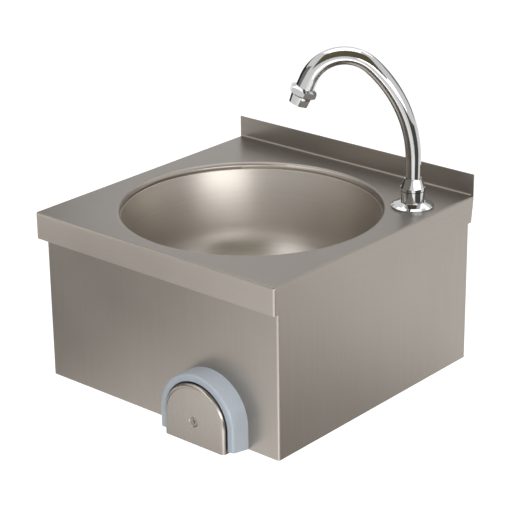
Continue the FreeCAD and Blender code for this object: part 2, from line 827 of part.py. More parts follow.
def coil_spring(label, frame, radius, wire_radius, turns, low, high):
    """A coil spring between two flat seats, its wire ends just clear of them."""
    radius = number(radius)
    wire = number(wire_radius)
    turns = number(turns)
    first = number(low + coil_room) + wire
    last = number(high - coil_room) - wire
    path = helix_path(radius, (last - first) / turns, turns, first)
    start = path.Edges[0]
    section = Part.Wire([Part.makeCircle(
        wire, start.valueAt(start.FirstParameter), start.tangentAt(start.FirstParameter))])
    shell = Part.BRepOffsetAPI.MakePipeShell(path)
    shell.add(section)
    shell.build()
    shell.makeSolid()
    coil = shell.shape()
    print("%s: least gap between turns %.2f mm" % (label, coil_gap(path, wire, turns)))
    expected = math.pi * wire * wire * path.Length
    print("%s: volume %.1f, wire section times length %.1f" % (label, coil.Volume, expected))
    return shape_part(label, coil, frame)


# ---------------------------------------------------------------- the sheet-metal box

def make_deck():
    """Top sheet with its apron, splashback, tap hole and rolled bowl lip."""
    body = new_body("deck", deck_frame)
    half = width / 2
    block = new_sketch(body, "footprint", "XY_Plane", -apron_height)
    add_rectangle(block, -half, -depth, half, 0)
    pad(body, block, apron_height, "apron_block")
    inside = new_sketch(body, "inside", "XY_Plane", deck_under)
    add_rectangle(inside, -half + steel, -depth + steel, half - steel, steel)
    pocket(body, inside, apron_height - 2 * steel, "hollow", forward=False)
    inner_bend = bend_radius - steel
    round_edges(body, inner_bend, any_of(
        straight_edge(x=half - steel, y=-depth + steel), straight_edge(x=-half + steel, y=-depth + steel),
        straight_edge(y=-depth + steel, z=deck_under), straight_edge(x=half - steel, z=deck_under),
        straight_edge(x=-half + steel, z=deck_under)), "inner_bends")
    round_edges(body, bend_radius, any_of(
        straight_edge(x=half, y=-depth), straight_edge(x=-half, y=-depth),
        straight_edge(y=-depth, z=0), straight_edge(x=half, z=0), straight_edge(x=-half, z=0)),
        "outer_bends")
    opening = new_sketch(body, "skirt_opening", "XY_Plane", -apron_height)
    add_rectangle(opening, -skirt_half, panel_y, skirt_half, steel)
    pocket(body, opening, steel, "return_opening")
    upstand = new_sketch(body, "upstand", "XY_Plane", deck_under)
    add_rectangle(upstand, -half, -steel, half, 0)
    pad(body, upstand, steel + splash_height, "splashback")
    foot = new_sketch(body, "foot", "YZ_Plane", -half + bend_radius)
    add_corner_fill(foot, -steel, 0, splash_foot_radius)
    pad(body, foot, width - 2 * bend_radius, "splash_foot")
    rake = new_sketch(body, "rake", "YZ_Plane", -half - steel)
    add_polygon(rake, [(0, -steel - splash_foot_radius), (steel, -steel), (steel, -apron_height - steel),
                       (-apron_rake, -apron_height - steel), (-apron_rake, -apron_height)])
    pocket(body, rake, width + 2 * steel, "raked_ends")
    hole = new_sketch(body, "bowl_hole", "XY_Plane", deck_under)
    add_circle(hole, 0, -bowl_from_wall, collar_inner)
    pocket(body, hole, steel, "bowl_opening")
    turn(body, box_points(collar_inner, -collar_depth, collar_outer, deck_under), "collar", bowl_from_wall)
    inner_roll = ring_edge(collar_outer, deck_under, 0, -bowl_from_wall)
    round_edges(body, lip_roll - steel, inner_roll, "roll_inside")
    outer_roll = ring_edge(collar_inner, 0, 0, -bowl_from_wall)
    round_edges(body, lip_roll, outer_roll, "roll_outside")
    tap_hole = new_sketch(body, "tap_hole", "XY_Plane", deck_under)
    add_circle(tap_hole, tap_x, -tap_from_wall, half_inch + tap_hole_clearance)
    pocket(body, tap_hole, steel, "tap_opening")
    return body


def make_bowl():
    """Round bowl pressed from one sheet, welded under the deck's collar."""
    body = new_body("bowl", bowl_frame)
    flange_top = -collar_depth
    flange_radius = collar_outer + bowl_flange
    floor_edge = -(bowl_depth - bowl_floor_fall)
    turn(body, [
        (flange_radius, flange_top),
        (bowl_mouth, flange_top),
        (bowl_floor_radius, floor_edge),
        (drain_radius, -bowl_depth),
        (drain_radius, recess_floor),
        (waste_hole_radius, recess_floor),
        (waste_hole_radius, recess_floor - steel),
        (drain_radius + steel, recess_floor - steel),
        (drain_radius + steel, -bowl_depth - steel),
        (bowl_floor_radius + steel, floor_edge - steel),
        (bowl_mouth + steel, flange_top - steel),
        (flange_radius, flange_top - steel),
    ])
    round_edges(body, bowl_corner_radius, ring_edge(bowl_floor_radius, floor_edge), "floor_inside")
    round_edges(body, bowl_corner_radius + steel,
                ring_edge(bowl_floor_radius + steel, floor_edge - steel), "floor_outside")
    round_edges(body, bowl_edge_radius, ring_edge(bowl_mouth, flange_top), "ledge_edge")
    return body


def front_holes(body, name, holes, front, length):
    """Round holes through a front sheet, from (x, height, radius) triples."""
    sketch = new_sketch(body, name, "XZ_Plane", -front)
    for x, height, radius in holes:
        add_circle(sketch, x, height, radius)
    return pocket(body, sketch, length, name + "_cut", forward=False)


def guard_screw_places():
    """Where the guard's two screws stand, about the valve's axis."""
    ring = guard_radius - guard_wall / 2
    across = ring * cosine(guard_screw_angle)
    up = ring * sine(guard_screw_angle)
    return [(-across, up), (across, up)]


def make_skirt():
    """Front and side panels in one folded sheet, with returns below and at the wall."""
    body = new_body("skirt", deck_frame)
    back = -skirt_wall_gap
    outline = new_sketch(body, "footprint", "XY_Plane", -skirt_height)
    add_rectangle(outline, -skirt_half, panel_y, skirt_half, back)
    pad(body, outline, skirt_height - steel, "block")
    inside = new_sketch(body, "inside", "XY_Plane", -skirt_height + steel)
    add_rectangle(inside, -skirt_half + steel, panel_y + steel, skirt_half - steel, back - steel)
    pocket(body, inside, skirt_height, "hollow")
    round_edges(body, bend_radius - steel, any_of(
        straight_edge(x=skirt_half - steel, y=panel_y + steel),
        straight_edge(x=-skirt_half + steel, y=panel_y + steel)), "inner_bends")
    round_edges(body, bend_radius, any_of(
        straight_edge(x=skirt_half, y=panel_y), straight_edge(x=-skirt_half, y=panel_y)), "outer_bends")
    below = new_sketch(body, "underside", "XY_Plane", -skirt_height)
    inner_half = skirt_half - skirt_return
    add_rectangle(below, -inner_half, panel_y + skirt_return, inner_half, back - steel)
    pocket(body, below, steel, "underside_opening")
    behind = new_sketch(body, "back", "XY_Plane", -skirt_height)
    flange_half = skirt_half - skirt_back_flange
    add_rectangle(behind, -flange_half, back - steel - bend_radius, flange_half, 0)
    pocket(body, behind, skirt_height, "back_opening")
    valve_hole = [(knee_x, -knee_drop, spigot_radius + 2 * thread_fit)]
    front_holes(body, "valve_hole", valve_hole, panel_y, 2 * steel)
    screw_hole = guard_screw_radius + thread_fit
    places = [(knee_x + x, -knee_drop + y, screw_hole) for x, y in guard_screw_places()]
    front_holes(body, "screw_holes", places, panel_y, 2 * steel)
    return body


def make_hanging_rail():
    """Angle under the deck whose lip drops into the wall bracket's hook."""
    body = new_body("hanging_rail", deck_frame)
    lip_foot = bracket_rise - rim_height
    profile = new_sketch(body, "section", "YZ_Plane", -rail_half_length)
    add_polygon(profile, [
        (-rail_wall_gap, deck_under),
        (-rail_wall_gap, lip_foot),
        (-rail_wall_gap - rail_steel, lip_foot),
        (-rail_wall_gap - rail_steel, deck_under - rail_steel),
        (-rail_flange, deck_under - rail_steel),
        (-rail_flange, deck_under),
    ])
    pad(body, profile, 2 * rail_half_length)
    return body


def make_wall_bracket():
    """Strip screwed to the wall, its top folded into an upward hook."""
    body = new_body("wall_bracket", wall_frame)
    profile = new_sketch(body, "section", "YZ_Plane", -bracket_half_length)
    add_polygon(profile, [
        (0, -bracket_drop),
        (0, bracket_rise),
        (-hook_gap, bracket_rise),
        (-hook_gap, bracket_rise + hook_height),
        (-hook_gap - bracket_steel, bracket_rise + hook_height),
        (-hook_gap - bracket_steel, bracket_rise - bracket_steel),
        (-bracket_steel, bracket_rise - bracket_steel),
        (-bracket_steel, -bracket_drop),
    ])
    pad(body, profile, 2 * bracket_half_length)
    hole_x = bracket_half_length - wall_hole_inset
    holes = [(-hole_x, 0, wall_hole_radius), (hole_x, 0, wall_hole_radius)]
    front_holes(body, "wall_holes", holes, -bracket_steel, bracket_steel)
    return body


def make_wall_pads():
    """Rubber pads that keep the foot of the skirt off the wall."""
    pads = []
    across = skirt_half - skirt_back_flange / 2
    height = rim_height - skirt_height + pad_height
    for label, x in (("left_pad", -across), ("right_pad", across)):
        frame = Frame(x, 0, height, (1, 0, 0), 90)
        pads.append(turned_part(label, frame, box_points(0, 0, pad_radius, skirt_wall_gap)))
    return group_part("wall_pads", pads)


# ---------------------------------------------------------------- the knee push

def arch_rim(radius, height):
    """Test for the edges of an arch outline at one height."""
    def test(edge):
        middle = edge.valueAt((edge.FirstParameter + edge.LastParameter) / 2)
        return close(middle.z, height) and close(math.hypot(middle.x, max(middle.y, 0)), radius)
    return test


def make_knee_guard():
    """Plastic arch round the push cap, open below, its floor under the panel nut."""
    body = new_body("knee_guard", knee_frame)
    outline = new_sketch(body, "outline", "XY_Plane")
    add_arch(outline, guard_radius, guard_leg)
    pad(body, outline, guard_depth)
    slope = new_sketch(body, "slope", "YZ_Plane", -guard_radius - overrun)
    low = -guard_leg
    add_polygon(slope, [(low, 0), (low + guard_leg_rise, guard_depth),
                        (low + guard_leg_rise, guard_depth + overrun),
                        (low - overrun, guard_depth + overrun), (low - overrun, 0)])
    pocket(body, slope, 2 * (guard_radius + overrun), "sloped_foot")
    room = new_sketch(body, "room", "XY_Plane", guard_floor)
    add_arch(room, guard_inner, guard_leg + guard_radius)
    pocket(body, room, guard_depth, "cap_room")
    round_edges(body, guard_inner_edge_radius, arch_rim(guard_inner, guard_depth), "inner_rim")
    round_edges(body, guard_edge_radius, arch_rim(guard_radius, guard_depth), "outer_rim")
    bore = new_sketch(body, "bore", "XY_Plane")
    add_circle(bore, 0, 0, spigot_radius + 2 * thread_fit)
    pocket(body, bore, guard_floor, "spigot_hole")
    pilots = new_sketch(body, "pilots", "XY_Plane")
    for x, y in guard_screw_places():
        add_circle(pilots, x, y, guard_screw_radius + thread_fit)
    pocket(body, pilots, guard_screw_length, "pilot_holes")
    return body


def make_guard_screws():
    """Pan-head screws driven from behind the panel into the guard."""
    screws = []
    head_face = -(steel + guard_screw_head_height)
    tip = guard_screw_length - guard_screw_head_height
    for label, place in zip(("left_screw", "right_screw"), guard_screw_places()):
        frame = Frame(knee_x + place[0], panel_y, rim_height - knee_drop + place[1], (1, 0, 0), 90)
        body = turned_part(label, frame, [
            (0, head_face), (guard_screw_head, head_face), (guard_screw_head, -steel),
            (guard_screw_radius, -steel), (guard_screw_radius, tip - guard_screw_radius), (0, tip)])
        screws.append(body)
    return group_part("guard_screws", screws)


def make_knee_cap():
    """Pressed steel cap, arched like the guard, open behind and below."""
    body = new_body("knee_cap", knee_frame)
    inner = cap_radius - steel
    outline = new_sketch(body, "outline", "XY_Plane", cap_back)
    add_arch(outline, cap_radius, cap_leg)
    pad(body, outline, cap_front - cap_back)
    room = new_sketch(body, "room", "XY_Plane", cap_back)
    add_arch(room, inner, cap_leg + cap_radius)
    pocket(body, room, cap_front - steel - cap_back, "hollow")
    round_edges(body, cap_edge_radius - steel, arch_rim(inner, cap_front - steel), "inner_rim")
    round_edges(body, cap_edge_radius, arch_rim(cap_radius, cap_front), "front_rim")
    flare = cap_screw_head + cap_screw_sink
    behind = cap_front - steel - overrun
    groove(body, [(0, behind), (flare, behind), (flare, cap_front - steel),
                  (flare + cap_dimple_flare, cap_front), (0, cap_front)], "screw_dimple")
    return body


def make_cap_core():
    """Moulded carrier inside the cap, with the socket for the push rod."""
    body = new_body("cap_core", knee_frame)
    front = cap_front - steel
    back = front - core_plate
    outline = new_sketch(body, "outline", "XY_Plane", back)
    add_arch(outline, cap_radius - cap_edge_radius - core_gap, cap_leg - core_gap)
    pad(body, outline, core_plate)
    turn(body, box_points(0, core_back, core_boss_radius, back + core_plate / 2), "boss")
    rod_hole = rod_radius + thread_fit
    groove(body, box_points(0, core_back - overrun, rod_hole, core_back + rod_socket), "socket")
    shank = cap_screw_radius + thread_fit
    head = cap_screw_head + cap_screw_sink
    groove(body, [(0, core_back), (shank, core_back), (shank, front - head + shank), (head, front),
                  (head, front + overrun), (0, front + overrun)], "countersink")
    return body


def make_cap_screw():
    """Countersunk screw through the cap and its core into the push rod."""
    front = cap_front - steel - cap_screw_sink
    return turned_part("cap_screw", knee_frame, [
        (0, front - cap_screw_length), (cap_screw_radius, front - cap_screw_length),
        (cap_screw_radius, front - cap_screw_head + cap_screw_radius), (cap_screw_head, front), (0, front)])


def make_push_rod():
    """Rod from the cap through the valve, necked where water passes."""
    front = core_back + rod_socket
    tapped = cap_screw_radius + thread_fit
    tapped_end = cap_front - steel - cap_screw_length - cap_screw_end_room
    return turned_part("push_rod", knee_frame, [
        (tapped, front), (rod_radius, front),
        (rod_radius, -rod_neck_start), (rod_neck_radius, -rod_neck_start),
        (rod_neck_radius, -seat_face), (rod_thread_radius, -seat_face),
        (rod_thread_radius, -rod_end), (0, -rod_end), (0, tapped_end), (tapped, tapped_end)])


def make_return_spring():
    """Coil between the panel nut and the cap's core."""
    return coil_spring("return_spring", knee_frame, spring_radius, spring_wire, spring_turns,
                       nut_front, core_back)


# ---------------------------------------------------------------- the valve

def make_valve_plate():
    """Stiffening plate behind the thin front panel."""
    body = new_body("valve_plate", knee_frame)
    back = -steel - valve_plate_thickness
    plate = new_sketch(body, "outline", "XY_Plane", back)
    half_width = valve_plate_width / 2
    half_height = valve_plate_height / 2
    add_rectangle(plate, -half_width, -half_height, half_width, half_height)
    pad(body, plate, valve_plate_thickness)
    bore = new_sketch(body, "bore", "XY_Plane", back)
    add_circle(bore, 0, 0, spigot_radius + 2 * thread_fit)
    pocket(body, bore, valve_plate_thickness, "spigot_hole")
    return body


def seal_stations():
    """Middles of the two rod seals, from the panel's face."""
    return [0, -seal_spacing]


def make_valve_body():
    """Brass body: spigot through the panel, guide, outlet chamber, seat and inlet."""
    body = new_body("valve_body", knee_frame)
    shoulder_back = -valve_seat_depth - shoulder_length
    guide = rod_radius + running_fit
    turn(body, [
        (guide, spigot_length), (spigot_radius, spigot_length),
        (spigot_radius, -valve_seat_depth), (shoulder_radius, -valve_seat_depth),
        (shoulder_radius, shoulder_back), (barrel_radius, shoulder_back),
        (barrel_radius, -barrel_end), (inlet_chamber_radius, -barrel_end),
        (inlet_chamber_radius, -seat_face), (seat_radius, -seat_face),
        (seat_radius, -seat_front), (outlet_chamber_radius, -seat_front),
        (outlet_chamber_radius, -guide_end), (guide, -guide_end)])
    half_groove = seal_wire + seal_side_room
    for i, station in enumerate(seal_stations()):
        groove_floor = guide + 2 * seal_wire
        groove(body, box_points(rod_radius, station - half_groove, groove_floor, station + half_groove),
               "seal_groove_%d" % (i + 1))
    boss = new_sketch(body, "outlet_boss", "XZ_Plane", -barrel_radius * cosine(45))
    add_circle(boss, 0, -outlet_station, half_inch)
    extrude(body, "PartDesign::Pad", boss, outlet_height - barrel_radius * cosine(45), True, "outlet")
    port = new_sketch(body, "outlet_port", "XZ_Plane", 0)
    add_circle(port, 0, -outlet_station, outlet_bore)
    pocket(body, port, outlet_height, "outlet_bored", forward=False)
    return body


def make_rod_seals():
    """O-rings that seal the push rod in its guide."""
    ring = rod_radius + running_fit + seal_wire
    seals = []
    for i, station in enumerate(seal_stations()):
        seals.append(ring_seal("rod_seal_%d" % (i + 1), knee_frame, ring, seal_wire, station))
    return group_part("rod_seals", seals)


def make_stem_stack():
    """Seat washer, its backing disc and the nut that holds them on the rod."""
    hole = rod_thread_radius + thread_fit
    washer_back = -seat_face - seat_washer_thickness
    disc_back = washer_back - seat_disc_thickness
    turned_part("seat_washer", knee_frame, box_points(hole, washer_back, seat_washer_radius, -seat_face))
    turned_part("seat_disc", knee_frame, box_points(hole, disc_back, seat_washer_radius, washer_back))
    hex_nut("stem_nut", knee_frame, stem_nut_flats, disc_back - stem_nut_height, stem_nut_height, hole,
            small_nut_chamfer)


def make_panel_nut():
    """Nut on the valve's spigot that clamps guard, panel and plate."""
    return hex_nut("panel_nut", knee_frame, panel_nut_flats, guard_floor, panel_nut_height,
                   spigot_radius + thread_fit)


# ---------------------------------------------------------------- the mixing tee

def make_mixing_tee():
    """Tee screwed into the valve: two ports at its back, for cold and hot."""
    body = new_body("mixing_tee", knee_frame)
    nipple = inlet_chamber_radius - thread_fit
    nipple_front = -barrel_end + tee_nipple
    collar_back = -tee_face - tee_collar
    back = -tee_arm_centre - tee_arm_station
    turn(body, [
        (0, back), (tee_barrel_radius, back), (tee_barrel_radius, collar_back),
        (barrel_radius, collar_back), (barrel_radius, -tee_face), (nipple, -tee_face),
        (nipple, nipple_front), (0, nipple_front)])
    arms = new_sketch(body, "arms", "YZ_Plane", -tee_arm_length)
    add_circle(arms, 0, -tee_arm_centre, tee_arm_radius)
    pad(body, arms, 2 * tee_arm_length, "arm_tube")
    port_face = -tee_arm_centre - tee_port_length
    ports = new_sketch(body, "ports", "XY_Plane", port_face)
    sockets = new_sketch(body, "sockets", "XY_Plane", port_face)
    ways = new_sketch(body, "ways", "XY_Plane", port_face)
    for x in (-tee_port_x, tee_port_x):
        add_circle(ports, x, 0, tee_arm_radius)
        add_circle(sockets, x, 0, check_nipple_radius + thread_fit)
        add_circle(ways, x, 0, tee_cross_bore)
    pad(body, ports, tee_port_length, "port_tubes")
    groove(body, box_points(0, back + tee_end_wall, tee_bore, nipple_front + overrun), "inlet_bore")
    cross = new_sketch(body, "cross_bore", "YZ_Plane", -tee_port_x)
    add_circle(cross, 0, -tee_arm_centre, tee_cross_bore)
    pocket(body, cross, 2 * tee_port_x, "cross_bored")
    pocket(body, ways, tee_port_length, "ports_bored")
    pocket(body, sockets, check_nipple, "sockets_bored")
    return body


def make_tee_gasket():
    """Fibre ring between the tee's collar and the valve."""
    return turned_part("tee_gasket", knee_frame, box_points(
        inlet_chamber_radius, -tee_face, barrel_radius, -barrel_end))


def make_check_body(label, frame):
    """Union with a half-inch inlet thread and the non-return seat."""
    body = new_body(label, frame)
    hexagon_sketch = new_sketch(body, "hexagon", "XY_Plane", tee_port_length)
    add_polygon(hexagon_sketch, hexagon(check_hex_flats))
    pad(body, hexagon_sketch, check_hex_length)
    turn(body, box_points(0, check_start, check_nipple_radius, tee_port_length + overrun), "nipple")
    hexagon_end = tee_port_length + check_hex_length
    turn(body, box_points(0, hexagon_end - overrun, half_inch, check_end), "inlet_thread")
    groove(body, box_points(0, check_start - overrun, check_bore, check_seat), "chamber")
    groove(body, box_points(0, check_seat - overrun, check_seat_bore, check_end), "seat_bore")
    seat_back = check_seat + check_seat_thickness
    groove(body, box_points(0, seat_back, check_bore, check_end + overrun), "inlet_bore")
    chamfer_corners(body, check_hex_flats, tee_port_length, hexagon_end, small_nut_chamfer)
    return body


def make_check_guide(label, frame):
    """Three-armed plastic guide for the poppet's stem."""
    body = new_body(label, frame)
    outer = check_bore - thread_fit
    top = check_guide + check_guide_length
    turn(body, box_points(outer - check_guide_ring, check_guide, outer, top), "ring")
    arm = new_sketch(body, "arm", "XY_Plane", check_guide)
    add_rectangle(arm, 0, -check_guide_arm / 2, outer - check_guide_ring / 2, check_guide_arm / 2)
    arm_pad = pad(body, arm, check_guide_length, "arm_pad")
    polar(body, arm, arm_pad, 3, "arms")
    turn(body, box_points(0, check_guide, check_guide_hub, top), "hub")
    stem_hole = poppet_stem_radius + running_fit
    groove(body, box_points(0, check_guide - overrun, stem_hole, top + overrun), "stem_hole")
    return body


def make_poppet(label, frame):
    """Mushroom valve held on its seat by a light spring."""
    back = check_seat - poppet_thickness
    return turned_part(label, frame, [
        (0, check_guide - poppet_stem_tail), (poppet_stem_radius, check_guide - poppet_stem_tail),
        (poppet_stem_radius, back), (poppet_radius, back), (poppet_radius, check_seat), (0, check_seat)])


def make_check_valve(side, frame):
    """One non-return valve: union, guide, poppet and spring."""
    make_check_body(side + "_inlet_union", frame)
    make_check_guide(side + "_poppet_guide", frame)
    make_poppet(side + "_poppet", frame)
    coil_spring(side + "_poppet_spring", frame, check_spring_radius, check_spring_wire, check_spring_turns,
                check_guide + check_guide_length, check_seat - poppet_thickness)


# ---------------------------------------------------------------- the mixed-water pipe

def bent_path(points, radius):
    """Straight runs through the points, joined by tangent arcs."""
    edges = []
    start = points[0]
    for i in range(1, len(points) - 1):
        into = (points[i] - points[i - 1]).normalize()
        out = (points[i + 1] - points[i]).normalize()
        setback = radius * math.tan(into.getAngle(out) / 2)
        arc_start = points[i] - into * setback
        arc_end = points[i] + out * setback
        edges.append(Part.LineSegment(start, arc_start).toShape())
        edges.append(arc_between(arc_start, points[i], arc_end))
        start = arc_end
    edges.append(Part.LineSegment(start, points[-1]).toShape())
    return Part.Wire(edges)


def swept_tube(path, radius, end_radius):
    """A solid along a path, round all the way, narrowing or widening evenly."""
    shell = Part.BRepOffsetAPI.MakePipeShell(path)
    first = path.Edges[0]
    last = path.Edges[-1]
    start = first.FirstParameter
    shell.add(Part.Wire([Part.makeCircle(radius, first.valueAt(start), first.tangentAt(start))]))
    if end_radius != radius:
        end = last.LastParameter
        shell.add(Part.Wire([Part.makeCircle(end_radius, last.valueAt(end), last.tangentAt(end))]))
    shell.build()
    shell.makeSolid()
    return shell.shape()


def make_mixed_water_pipe():
    """Copper pipe from the valve's outlet round the bowl to the tap's shank."""
    start_y = panel_y + outlet_station
    start_z = outlet_height - knee_drop - pipe_entry
    run_z = start_z + pipe_rise + pipe_entry
    end_z = -tap_shank_end + pipe_entry
    points = [
        vector(knee_x, start_y, start_z),
        vector(knee_x, start_y, run_z),
        vector(tap_x, start_y, run_z),
        vector(tap_x, -tap_from_wall, run_z),
        vector(tap_x, -tap_from_wall, end_z),
    ]
    path = bent_path(points, number(pipe_bend))
    outer_radius = number(pipe_radius)
    inner_radius = number(pipe_radius - pipe_wall)
    outer = swept_tube(path, outer_radius, outer_radius)
    inner = swept_tube(path, inner_radius, inner_radius)
    pipe = outer.cut(inner)
    section = math.pi * (outer_radius ** 2 - inner_radius ** 2)
    print("mixed_water_pipe: volume %.0f, section times length %.0f" % (pipe.Volume, section * path.Length))
    return shape_part("mixed_water_pipe", pipe, deck_frame)


def make_pipe_joints():
    """The like nuts and olives at both ends of the pipe."""
    lip_bore = pipe_radius + thread_fit
    flip = Frame(tap_frame.x, tap_frame.y, tap_frame.z, (1, 0, 0), 180)
    ends = [("valve", outlet_frame, outlet_height), ("tap", flip, tap_shank_end)]
    nuts = []
    olives = []
    for side, frame, face in ends:
        low = face - pipe_nut_grip
        top = face + olive_length + pipe_nut_lip
        nut = new_body(side + "_pipe_nut", frame)
        outline = new_sketch(nut, "hexagon", "XY_Plane", low)
        add_polygon(outline, hexagon(pipe_nut_flats))
        pad(nut, outline, top - low)
        groove(nut, box_points(0, low - overrun, half_inch + thread_fit, face + olive_length), "thread")
        groove(nut, box_points(0, face, lip_bore, top + overrun), "lip")
        chamfer_corners(nut, pipe_nut_flats, low, top, nut_chamfer)
        nuts.append(nut)
        olives.append(turned_part(side + "_olive", frame, box_points(
            lip_bore, face, olive_radius, face + olive_length)))
    group_part("pipe_nuts", nuts)
    group_part("pipe_olives", olives)


# ---------------------------------------------------------------- the tap

def make_tap_flange():
    """Domed rose that covers the tap hole."""
    hole = half_inch + tap_hole_clearance
    body = turned_part("tap_flange", tap_frame, [
        (hole, tap_gasket_thickness),
        (tap_flange_radius - tap_flange_lip, tap_gasket_thickness),
        (tap_flange_radius - tap_flange_lip, 0),
        (tap_flange_radius, 0),
        (tap_flange_radius, tap_flange_rim),
        (tap_flange_radius - tap_flange_lip, tap_flange_shoulder),
        (tap_column_radius + tap_flange_land, tap_flange_height),
        (hole, tap_flange_height)])
    return body


def make_tap_gasket():
    """Rubber ring under the rose."""
    outer = tap_flange_radius - tap_flange_lip - running_fit
    return turned_part("tap_gasket", tap_frame, box_points(
        half_inch + tap_hole_clearance, 0, outer, tap_gasket_thickness))


def make_tap_body():
    """Chromed column with its shank through the deck."""
    body = turned_part("tap_body", tap_frame, [
        (tap_water_bore, -tap_shank_end), (half_inch, -tap_shank_end),
        (half_inch, tap_flange_height), (tap_column_radius, tap_flange_height),
        (tap_column_radius, tap_column_top), (tap_neck_radius, tap_column_top),
        (tap_neck_radius, tap_neck_top), (spout_bore, tap_neck_top),
        (spout_bore, tap_bore_floor), (tap_water_bore, tap_bore_floor)])
    half_groove = spout_seal_wire + seal_side_room
    for i in range(spout_seal_count):
        middle = spout_seal_first + i * spout_seal_spacing
        groove(body, box_points(spout_radius, middle - half_groove, spout_bore + 2 * spout_seal_wire,
                                middle + half_groove), "seal_groove_%d" % (i + 1))
    return body


def make_spout_seals():
    """O-rings in the column, round the foot of the spout."""
    seals = []
    for i in range(spout_seal_count):
        middle = spout_seal_first + i * spout_seal_spacing
        seals.append(ring_seal("spout_seal_%d" % (i + 1), tap_frame, spout_bore + spout_seal_wire,
                               spout_seal_wire, middle))
    return group_part("spout_seals", seals)


def make_tap_fixing():
    """Washer and nut under the deck."""
    washer_foot = deck_under - tap_washer_thickness
    turned_part("tap_washer", tap_frame, box_points(
        half_inch + tap_hole_clearance, washer_foot, tap_washer_radius, deck_under))
    hex_nut("tap_backnut", tap_frame, tap_backnut_flats, washer_foot - tap_backnut_height,
            tap_backnut_height, half_inch + thread_fit)


def make_swivel_nut():
    """Round union nut with six tapering flats, which holds the spout's ring on the column."""
    body = new_body("swivel_nut", tap_frame)
    low = tap_column_top + swivel_nut_foot
    shoulder = low + swivel_nut_straight
    top = low + swivel_nut_height
    past = top + overrun
    straight = new_sketch(body, "round_foot", "XY_Plane", low)
    add_circle(straight, 0, 0, swivel_nut_radius)
    pad(body, straight, swivel_nut_straight, "foot")
    foot = new_sketch(body, "cone_foot", "XY_Plane", shoulder)
    add_polygon(foot, hexagon(swivel_nut_flats))
    head = new_sketch(body, "cone_head", "XY_Plane", top)
    add_polygon(head, hexagon(swivel_nut_top_flats))
    loft = body.newObject("PartDesign::AdditiveLoft", "facets")
    loft.Profile = foot
    loft.Sections = [head]
    loft.Ruled = True
    settle(body, loft)
    groove(body, [(swivel_nut_radius, shoulder), (swivel_nut_top_radius, top), (swivel_nut_top_radius, past),
                  (swivel_nut_flats, past), (swivel_nut_flats, shoulder)], "turned_corners")
    ceiling = tap_neck_top + spout_ring_thickness + 2 * spout_ring_play
    groove(body, box_points(0, low - overrun, tap_neck_radius + thread_fit, ceiling), "thread")
    groove(body, box_points(0, low, spout_bore, past), "tube_hole")
    cut_cone(body, swivel_nut_radius - small_nut_chamfer, low, swivel_nut_radius, low + small_nut_chamfer,
             "foot_chamfer")
    return body


def make_spout_ring():
    """Collar soldered to the tube, trapped under the swivel nut."""
    low = tap_neck_top + spout_ring_play
    return turned_part("spout_ring", tap_frame, box_points(
        spout_radius, low, tap_neck_radius - spout_ring_play, low + spout_ring_thickness))


def neck_point(reach, height):
    """A point of the swan neck's plane, seen from the tap's foot."""
    heading = math.radians(number(spout_heading))
    across = number(reach)
    return FreeCAD.Vector(across * math.cos(heading), across * math.sin(heading), number(height))


def make_spout_tube():
    """Swan neck: upright, a wide rising arc, a tight arc over the top, then down."""
    middle_rise = spout_rise_angle / 2
    middle_top = (spout_rise_angle + spout_turn) / 2
    rise_middle = neck_point(
        spout_rise_radius * (1 - cosine(middle_rise)),
        spout_straight + spout_rise_radius * sine(middle_rise))
    top_middle = neck_point(
        rise_reach + spout_top_radius * (cosine(spout_rise_angle) - cosine(middle_top)),
        rise_height + spout_top_radius * (sine(middle_top) - sine(spout_rise_angle)))
    foot = neck_point(0, tap_bore_floor + spout_foot_room)
    base = neck_point(0, spout_taper_start)
    rise_start = neck_point(0, spout_straight)
    rise_end = neck_point(rise_reach, rise_height)
    top_end = neck_point(top_reach, top_height)
    tip = neck_point(tip_reach, tip_height)
    path = Part.Wire([
        Part.LineSegment(base, rise_start).toShape(),
        Part.Arc(rise_start, rise_middle, rise_end).toShape(),
        Part.Arc(rise_end, top_middle, top_end).toShape(),
        Part.LineSegment(top_end, tip).toShape(),
    ])
    start_radius = number(spout_radius)
    end_radius = number(spout_end_radius)
    wall = number(spout_wall)
    outer = swept_tube(path, start_radius, end_radius)
    inner = swept_tube(path, start_radius - wall, end_radius - wall)
    height = base.z - foot.z
    outer = outer.fuse(Part.makeCylinder(start_radius, height, foot)).removeSplitter()
    inner = inner.fuse(Part.makeCylinder(start_radius - wall, height, foot)).removeSplitter()
    return shape_part("spout_tube", outer.cut(inner), tap_frame)


def make_nozzle_collar():
    """Faceted collar soldered on the end of the tube."""
    body = new_body("nozzle_collar", nozzle_frame)
    outline = new_sketch(body, "hexagon", "XY_Plane")
    add_polygon(outline, hexagon(nozzle_flats))
    pad(body, outline, nozzle_length)
    socket = spout_end_radius + running_fit
    groove(body, box_points(0, -overrun, socket, nozzle_overlap), "tube_socket")
    groove(body, box_points(0, 0, spout_end_radius - spout_wall, nozzle_length), "water_way")
    washer_seat = aerator_start - aerator_washer_thickness
    groove(body, box_points(0, washer_seat, aerator_neck + thread_fit, nozzle_length + overrun), "thread")
    corner = nozzle_flats / (2 * cosine(30))
    cut_cone(body, socket + nozzle_lip, 0, corner, nozzle_cone, "upper_cone")
    cut_cone(body, aerator_top_radius + nozzle_lip, nozzle_length, corner, nozzle_length - nozzle_cone,
             "lower_cone")
    return body


